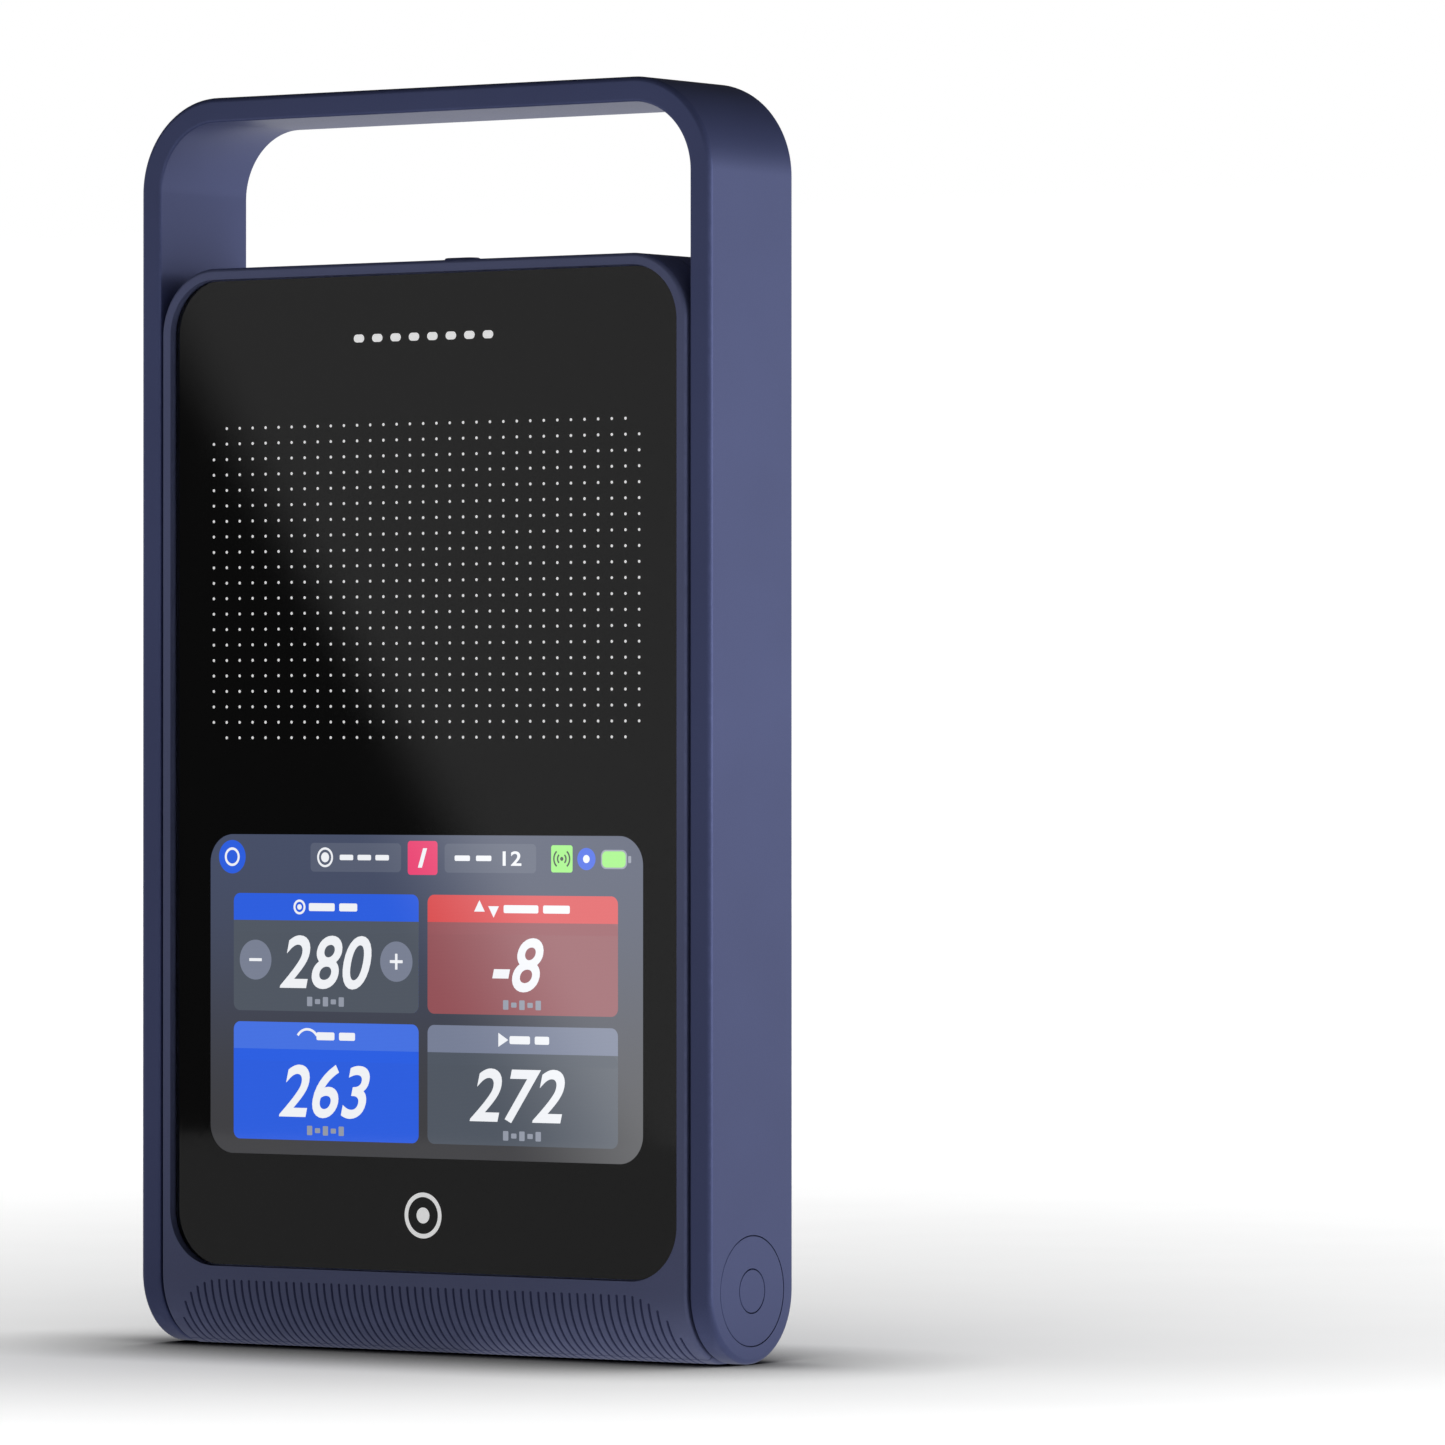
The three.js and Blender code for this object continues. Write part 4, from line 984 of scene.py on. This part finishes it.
# ---- Lit screen ----
# The picture is laid out in u and v, millimetres to the right of and above the middle of the screen.
SCREEN_FRONT = PRINT_FRONT + 0.12
LAYER = 0.02  # each layer of the picture stands this far in front of the one below
SIGNS = 4  # the uppermost layer, for signs and figures
TILE_HALF = (23.4, 11.9)
TILE_CORNER = 1.6
HEADER_HEIGHT = 5.45
LEFT_U, RIGHT_U = -24.6, 24.45
UPPER_V, LOWER_V = 8.55, -17.5
KNOB_PLACES, KNOB_V, KNOB_RADIUS = (-42.4, -6.75), 6.95, 4.05
KNOB_BAR = (1.6, 0.3)
NUMBER_HEIGHT, NUMBER_DROP = 10.8, 1.95
SCALE_MARKS, SCALE_PITCH, SCALE_DROP = 5, 2, 9.9
WORD_GAP = 1.2
STATUS_V = 27.8
CHIP_HALF_HEIGHT = 2.9
LIGHT_COLOURS = {
    "white": (244, 246, 250), "grey": (150, 156, 170), "blue": (46, 96, 226), "pale_blue": (72, 116, 230),
    "red": (220, 76, 78), "dark_red": (150, 84, 90), "tile": (82, 89, 100), "header": (122, 130, 153),
    "chip": (90, 97, 117), "knob": (124, 131, 150), "pink": (236, 62, 114), "green": (160, 240, 126),
    "dark": (40, 60, 40),
}
lights = {name: lit("screen_" + name, tone(*levels)) for name, levels in LIGHT_COLOURS.items()}
lights["ground"] = lit("screen_ground", tone(72, 80, 104), tone(64, 64, 67), SCREEN_Z - 30, SCREEN_Z + 32)
screen_parts = []


def keep(part, light):
    part.data.materials.append(lights[light])
    screen_parts.append(part)


def show(outline, light="white", layer=SIGNS):
    """One flat shape of the picture."""
    front = SCREEN_FRONT - LAYER * layer
    keep(tool(lambda inset: [(u, SCREEN_Z + v) for u, v in outline(inset)], front, PRINT_BACK), light)


def chip(cu, cv, half_u, half_v, corner, light="white", layer=SIGNS):
    show(rounded(half_u, cv - half_v, cv + half_v, corner, cx=cu, steps=8), light, layer)


def spot(cu, cv, radius, light="white", layer=SIGNS):
    show(disc(radius, cu, cv, 48), light, layer)


def bow(cu, cv, radius, width, start, stop, light="white", layer=SIGNS):
    """A part of a ring, between two angles."""
    points = arc(cu, cv, radius, start, stop) + arc(cu, cv, radius - width, stop, start)
    show(lambda inset: points, light, layer)


def hoop(cu, cv, radius, width, layer=SIGNS):
    for start in (0, 180):
        bow(cu, cv, radius, width, start, start + 180, layer=layer)


def triangle(cu, cv, half, turn):
    corners = [polar(turn + 120 * i) for i in range(3)]
    show(lambda inset: [(cu + half * c, cv + half * s) for c, s in corners])


def figures(text, cu, cv, width, height, layer=SIGNS, shear=0.24):
    """Bold slanted digits that fill a box of the given size."""
    curve = bpy.data.curves.new("figures", "FONT")
    curve.body = text
    curve.shear = shear
    curve.offset = 0.016
    curve.space_character = 1.05
    curve.extrude = 0.5
    curve.resolution_u = 6
    written = linked("figures", curve)
    mesh = bpy.data.meshes.new_from_object(written.evaluated_get(bpy.context.evaluated_depsgraph_get()))
    bpy.data.objects.remove(written)
    xs = [v.co.x for v in mesh.vertices]
    ys = [v.co.y for v in mesh.vertices]
    front = SCREEN_FRONT - LAYER * layer
    low = Vector((min(xs), min(ys), 0))
    size = Vector((max(xs), max(ys), 1)) - low
    points = []
    for v in mesh.vertices:
        u = cu + ((v.co.x - low.x) / size.x - 0.5) * width
        up = SCREEN_Z + cv + ((v.co.y - low.y) / size.y - 0.5) * height
        points.append((u, front if v.co.z > 0 else PRINT_BACK, up))
    keep(make_object("part", points, [tuple(p.vertices) for p in mesh.polygons]), "white")
    bpy.data.meshes.remove(mesh)


def tile(cu, cv, body, header, number, number_u, width):
    """A result tile: coloured header, large number and a row of small scale marks under it."""
    half_u, half_v = TILE_HALF
    chip(cu, cv, half_u, half_v, TILE_CORNER, header, 1)
    chip(cu, cv - HEADER_HEIGHT / 2, half_u, half_v - HEADER_HEIGHT / 2, TILE_CORNER, body, 2)
    chip(cu, cv + half_v - HEADER_HEIGHT - 1.2, half_u, 1.2, 0.1, body, 2)
    figures(number, number_u, cv - NUMBER_DROP, width, NUMBER_HEIGHT)
    for i in range(SCALE_MARKS):
        u = cu + (i - (SCALE_MARKS - 1) / 2) * SCALE_PITCH
        chip(u, cv - SCALE_DROP, 0.65, 0.5 if i % 2 else 0.95, 0.2, "grey")


def word_bars(cu, cv, *widths):
    """Plain bars beside a header's sign, where a screen would have its words."""
    left = cu - (sum(widths) + WORD_GAP * (len(widths) - 1)) / 2
    for width in widths:
        chip(left + width / 2, cv, width / 2, 0.8, 0.35)
        left += width + WORD_GAP


def result_tiles():
    tile(LEFT_U, UPPER_V, "tile", "blue", "280", LEFT_U, 23.2)
    tile(RIGHT_U, UPPER_V, "dark_red", "red", "-8", RIGHT_U - 1, 12.6)
    tile(LEFT_U, LOWER_V, "blue", "pale_blue", "263", LEFT_U - 0.3, 23.0)
    tile(RIGHT_U, LOWER_V, "tile", "header", "272", RIGHT_U - 1.2, 23.4)
    for knob_u in KNOB_PLACES:
        spot(knob_u, KNOB_V, KNOB_RADIUS, "knob", 3)
        chip(knob_u, KNOB_V, *KNOB_BAR, 0.1)
    chip(KNOB_PLACES[1], KNOB_V, *KNOB_BAR[::-1], 0.1)


def header_signs():
    sign_v = TILE_HALF[1] - HEADER_HEIGHT / 2
    upper, lower = UPPER_V + sign_v, LOWER_V + sign_v
    hoop(LEFT_U - 6.6, upper, 1.5, 0.45)
    spot(LEFT_U - 6.6, upper, 0.55)
    word_bars(LEFT_U + 1.9, upper, 6.5, 4.5)
    triangle(RIGHT_U - 10.5, upper + 0.2, 1.5, 90)
    triangle(RIGHT_U - 7.0, upper - 0.2, 1.5, -90)
    word_bars(RIGHT_U + 3.6, upper, 8.5, 6.5)
    bow(LEFT_U - 4.6, lower - 1.6, 3.2, 0.5, 35, 145)
    word_bars(LEFT_U + 2.6, lower, 4.5, 4.0)
    triangle(RIGHT_U - 5.0, lower, 1.6, 0)
    word_bars(RIGHT_U + 1.8, lower, 5.0, 3.5)


def status_row():
    """The upper row, from left to right: badge, two grey chips about a pink one, and three small signs."""
    v = STATUS_V
    badge, left_chip, chip_sign, pink, right_chip = -48.4, -17.0, -24.7, -0.2, 16.6
    signal, link, charge = 34.2, 40.2, 46.9
    spot(badge, v, 3.4, "blue", 2)
    hoop(badge, v, 1.9, 0.5, 3)
    chip(left_chip, v, 11.4, CHIP_HALF_HEIGHT, 0.9, "chip", 2)
    hoop(chip_sign, v, 2.0, 0.45, 3)
    spot(chip_sign, v, 1.0, layer=3)
    for i in range(3):
        chip(-19.3 + 4.5 * i, v, 1.7, 0.55, 0.3, layer=3)
    chip(pink, v, 3.7, 3.4, 0.7, "pink", 2)
    figures("1", pink, v, 2.3, 3.9, 3)
    chip(right_chip, v, 11.3, CHIP_HALF_HEIGHT, 0.9, "chip", 2)
    for i in range(2):
        chip(9.7 + 5.3 * i, v, 1.9, 0.55, 0.3, layer=3)
    figures("12", 22.0, v, 4.6, 2.9, 3, shear=0.0)
    chip(signal, v, 2.6, 2.7, 0.5, "green", 2)
    spot(signal, v, 0.4, "dark", 3)
    for radius in (1.2, 2.1):
        for start in (-50, 130):
            bow(signal, v, radius, 0.35, start, start + 100, "dark", 3)
    spot(link, v, 2.2, "blue", 2)
    spot(link, v, 0.8, layer=3)
    v -= 0.05
    chip(charge, v, 3.15, 1.9, 1.2, "grey", 2)
    chip(charge, v, 2.85, 1.6, 1.0, "green", 3)
    chip(50.7, v, 0.35, 0.7, 0.2, "grey", 2)


def screen_picture():
    half_u, half_v = SCREEN_HALF[0] - 0.02, SCREEN_HALF[1] - 0.02
    show(rounded(half_u, -half_v, half_v, SCREEN_CORNER), "ground", 0)
    result_tiles()
    header_signs()
    status_row()
    mount(join("screen_picture", screen_parts), "housing", "display")


screen_picture()


# ---- Finishes of the CAD nodes that stay ----
BOTH_SIDES = ("left", "right")
CAD_FINISHES = [
    (BLACK_RUBBER, ["panel_gasket", "door_seal"]),
    (DISPLAY_GLASS, ["display_module"]),
    (CIRCUIT, ["radar_board", "main_board"]),
    (TIN, ["radar_shield", "processor_shield", "usb_c_port"]),
    (CHASSIS, ["chassis_plate", "display_bracket", "hinge_bracket_left", "hinge_bracket_right"]),
    (CHARCOAL, ["battery_tray", "battery_connector", "power_switch", "wireless_antenna"]),
    (BATTERY, ["battery_pack"]),
    (RIBBON, ["display_cable", "radar_cable"]),
    (BRONZE, [f"pivot_bush_{side}" for side in BOTH_SIDES]),
    (STEEL, [f"{kind}_screw_{n}" for kind in ("chassis", "board") for n in range(1, 5)]),
    (STEEL, ["tray_screw_1", "tray_screw_2"]),
    (STEEL, [f"pivot_{kind}_{side}" for kind in ("bolt", "washer", "nut") for side in BOTH_SIDES]),
]
for material, names in CAD_FINISHES:
    for name in names:
        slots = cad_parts[name].data.materials
        slots.clear()
        slots.append(material)


# ---- Floor, light and camera, in metres ----
LIGHT_FROM = Vector((0.37, 0.93))  # the bright side, behind and a little to the right
BRIGHT, DIM = 1.12, 0.54  # glow of the floor on the bright side and opposite it
FLOOR_HALF, FLOOR_Z = 6000, -0.05  # millimetres
# The floor's darker pool is a painted shadow.
POOL_BEHIND, POOL_BEFORE, POOL_BESIDE = 0.8, 0.21, 0.36  # reach of the floor's darker pool round the object
GLOW_IN_GLASS, GLOW_ELSEWHERE = 0.66, 1.15
SUN_STRENGTH = math.pi * 0.98
SUN_SPREAD = 110
SOFTBOX_SIZE = (0.4, 0.2)
SOFTBOX_PLACE = Vector((0.5, 0.12, 0.1))
SOFTBOX_POWER = 0.55
SKY_TOP = 0.26  # sine of the height where the bright horizon has faded out
CARD_REACH = 1.1  # distance of the reflected card in front of the panel
CARD_FOOT = 42  # height on the panel, in millimetres, where the card's reflection starts
CAMERA_PLACE = Vector((1.1253, -1.5244, 0.1172))
CAMERA_TURN = 34.85
CAMERA_RISE = 0.29
LENS = 234.2
FILM = 36


def bright_side(tree, vector):
    """1 where a horizontal direction points at the bright side, 0 opposite it."""
    x, y, z = axes_of(tree, vector)
    flat = add(tree, "CombineXYZ", {0: x, 1: y}).outputs[0]
    unit = add(tree, "VectorMath", {0: flat}, operation="NORMALIZE").outputs[0]
    return remap(tree, along_axis(tree, unit, (*LIGHT_FROM, 0)), -0.85, 0.75, smooth=True)


def along_axis(tree, vector, axis):
    return add(tree, "VectorMath", {0: vector, 1: axis}, operation="DOT_PRODUCT").outputs["Value"]


def length_of(tree, vector):
    return add(tree, "VectorMath", {0: vector}, operation="LENGTH").outputs["Value"]


def view_direction():
    turn, rise = polar(CAMERA_TURN), polar(CAMERA_RISE)
    return Vector((-turn[1] * rise[0], turn[0] * rise[0], rise[1]))


def aim(made, direction, up):
    made.rotation_mode = "QUATERNION"
    made.rotation_quaternion = direction.to_track_quat("-Z", up)


def pool(tree, place):
    """How pale the floor looks: a painted shadow, darker in a long pool round the object and close under it.
    """
    look = view_direction()
    away = along_axis(tree, place, look)
    behind = math_node(tree, "DIVIDE", math_node(tree, "MAXIMUM", away, 0.0), POOL_BEHIND)
    before = math_node(tree, "DIVIDE", math_node(tree, "MINIMUM", away, 0.0), POOL_BEFORE)
    beside = math_node(tree, "DIVIDE", along_axis(tree, place, (look.y, -look.x, 0)), POOL_BESIDE)
    spread = add(tree, "CombineXYZ", {0: behind, 1: before, 2: beside}).outputs[0]
    # painted shadow: the floor's colour darkens in the pool round the object
    pale = remap(tree, length_of(tree, spread), 0.1, 1.15, 0.66, 1.05)
    mottle = remap(tree, noise(tree, place, 0.02, 4.0), 0.3, 0.7, 0.985, 1.0)
    # ambient occlusion put into the colour: painted contact shadow close under the object
    hollow = add(tree, "AmbientOcclusion", {"Distance": 0.05}, samples=8, only_local=False).outputs["AO"]
    return times(tree, times(tree, pale, mottle), math_node(tree, "POWER", hollow, 2.2))


def floor():
    """A wide pale floor. The camera sees it lit from above, with a painted shadow round the object; the
    object is lit by its glow, which is dimmed close to the object as painted shade.
    """
    corners = [(x * FLOOR_HALF, y * FLOOR_HALF, FLOOR_Z) for x, y in ((-1, -1), (1, -1), (1, 1), (-1, 1))]
    sheet = make_object("floor", corners, [(0, 1, 2, 3)])
    material, tree, place = new_material("floor_paper")
    paper = add(tree, "BsdfDiffuse", {"Color": pool(tree, place)}).outputs[0]
    level = remap(tree, bright_side(tree, place), 0, 1, DIM, BRIGHT)
    # painted shade: the glow is dimmed close to the object, where the floor would lie in its shadow
    level = times(tree, level, remap(tree, length_of(tree, place), 0.05, 0.3, 0.5, 1.0))
    mirrored = add(tree, "LightPath").outputs["Is Glossy Ray"]
    level = times(tree, level, remap(tree, mirrored, 0, 1, GLOW_ELSEWHERE, GLOW_IN_GLASS))
    glow = add(tree, "Emission", {"Strength": level}).outputs[0]
    seen = add(tree, "LightPath").outputs["Is Camera Ray"]
    surface(tree, add(tree, "MixShader", {0: seen, 1: glow, 2: paper}).outputs[0])
    sheet.data.materials.append(material)
    return sheet


def floor_lamp(sheet):
    """A wide soft sun that lights nothing but the floor, so the object's soft shadow shows on it."""
    only_floor = bpy.data.collections.new("lit_by_floor_lamp")
    only_floor.objects.link(sheet)
    sun = bpy.data.lights.new("floor_sun", "SUN")
    sun.energy = SUN_STRENGTH
    sun.angle = math.radians(SUN_SPREAD)
    linked("floor_sun", sun).light_linking.receiver_collection = only_floor


def side_lamp():
    """A softbox low on the right: brightest at the middle of the arm, and hidden from the hand opening."""
    box = bpy.data.lights.new("softbox", "AREA")
    box.shape = "RECTANGLE"
    box.size, box.size_y = SOFTBOX_SIZE
    box.energy = SOFTBOX_POWER
    lamp = linked("softbox", box)
    lamp.location = SOFTBOX_PLACE
    aim(lamp, Vector((-SOFTBOX_PLACE.x, -SOFTBOX_PLACE.y, 0)), "Z")
    lamp.visible_camera = False


def studio_world():
    """White to the camera; for light, a bright horizon on one side, dim on the other and dark overhead."""
    world = bpy.data.worlds.new("studio")
    world.use_nodes = True
    tree = world.node_tree
    tree.nodes.clear()
    direction = add(tree, "TexCoord").outputs["Generated"]
    height = axes_of(tree, direction)[2]
    band = remap(tree, height, 0.0, SKY_TOP, 1.0, 0.0, smooth=True)
    level = times(tree, band, remap(tree, bright_side(tree, direction), 0, 1, 0.5, 1.15))
    level = math_node(tree, "ADD", level, 0.03)
    level = math_node(tree, "MAXIMUM", level, add(tree, "LightPath").outputs["Is Camera Ray"])
    background = add(tree, "Background", {"Color": WHITE, "Strength": level}).outputs[0]
    add(tree, "OutputWorld", {"Surface": background})
    bpy.context.scene.world = world


def reflected_card():
    """A card that only the glass mirrors: pale with a dark corner and a soft slanting edge between them.

    It is built from the places on the panel where the camera sees it mirrored, and shaded by them.
    """
    plane = PANEL_LOW.y * MM
    eye = Vector((CAMERA_PLACE.x, 2 * plane - CAMERA_PLACE.y, CAMERA_PLACE.z))
    scale = 1 + CARD_REACH / (eye - Vector((0, plane, eye.z))).length
    reach = 2.2 * PANEL_HIGH.x
    corners = [(-reach, CARD_FOOT), (reach, CARD_FOOT), (reach, HEIGHT), (-reach, HEIGHT)]
    on_panel = [Vector((x * MM, plane, z * MM)) for x, z in corners]
    card = make_object("card", [(eye + (here - eye) * scale) / MM for here in on_panel], [(0, 1, 2, 3)])
    mesh = card.data
    values = mesh.attributes.new("panel_place", "FLOAT_VECTOR", "POINT")
    for vertex, value in zip(mesh.vertices, values.data):
        here = eye + (vertex.co - eye) / scale
        value.vector = (here.x / MM, 0, here.z / MM)
    material, tree, place = new_material("card")
    where = add(tree, "Attribute", attribute_name="panel_place").outputs["Vector"]
    x, y, z = axes_of(tree, where)
    slant = math_node(tree, "ADD", x, times(tree, z, 0.7))
    level = remap(tree, slant, 70, 93, 0.06, 0.5, smooth=True)
    surface(tree, add(tree, "Emission", {"Strength": level}).outputs[0])
    mesh.materials.append(material)
    for kind in ("camera", "diffuse", "transmission", "shadow", "volume_scatter"):
        setattr(card, "visible_" + kind, False)


def camera():
    lens = bpy.data.cameras.new("camera")
    lens.lens = LENS
    lens.sensor_width = FILM
    lens.clip_end = 100
    eye = linked("camera", lens)
    eye.location = CAMERA_PLACE
    aim(eye, view_direction(), "Y")
    bpy.context.scene.camera = eye


floor_lamp(floor())
side_lamp()
studio_world()
reflected_card()
camera()
bpy.context.scene.view_settings.view_transform = "Standard"
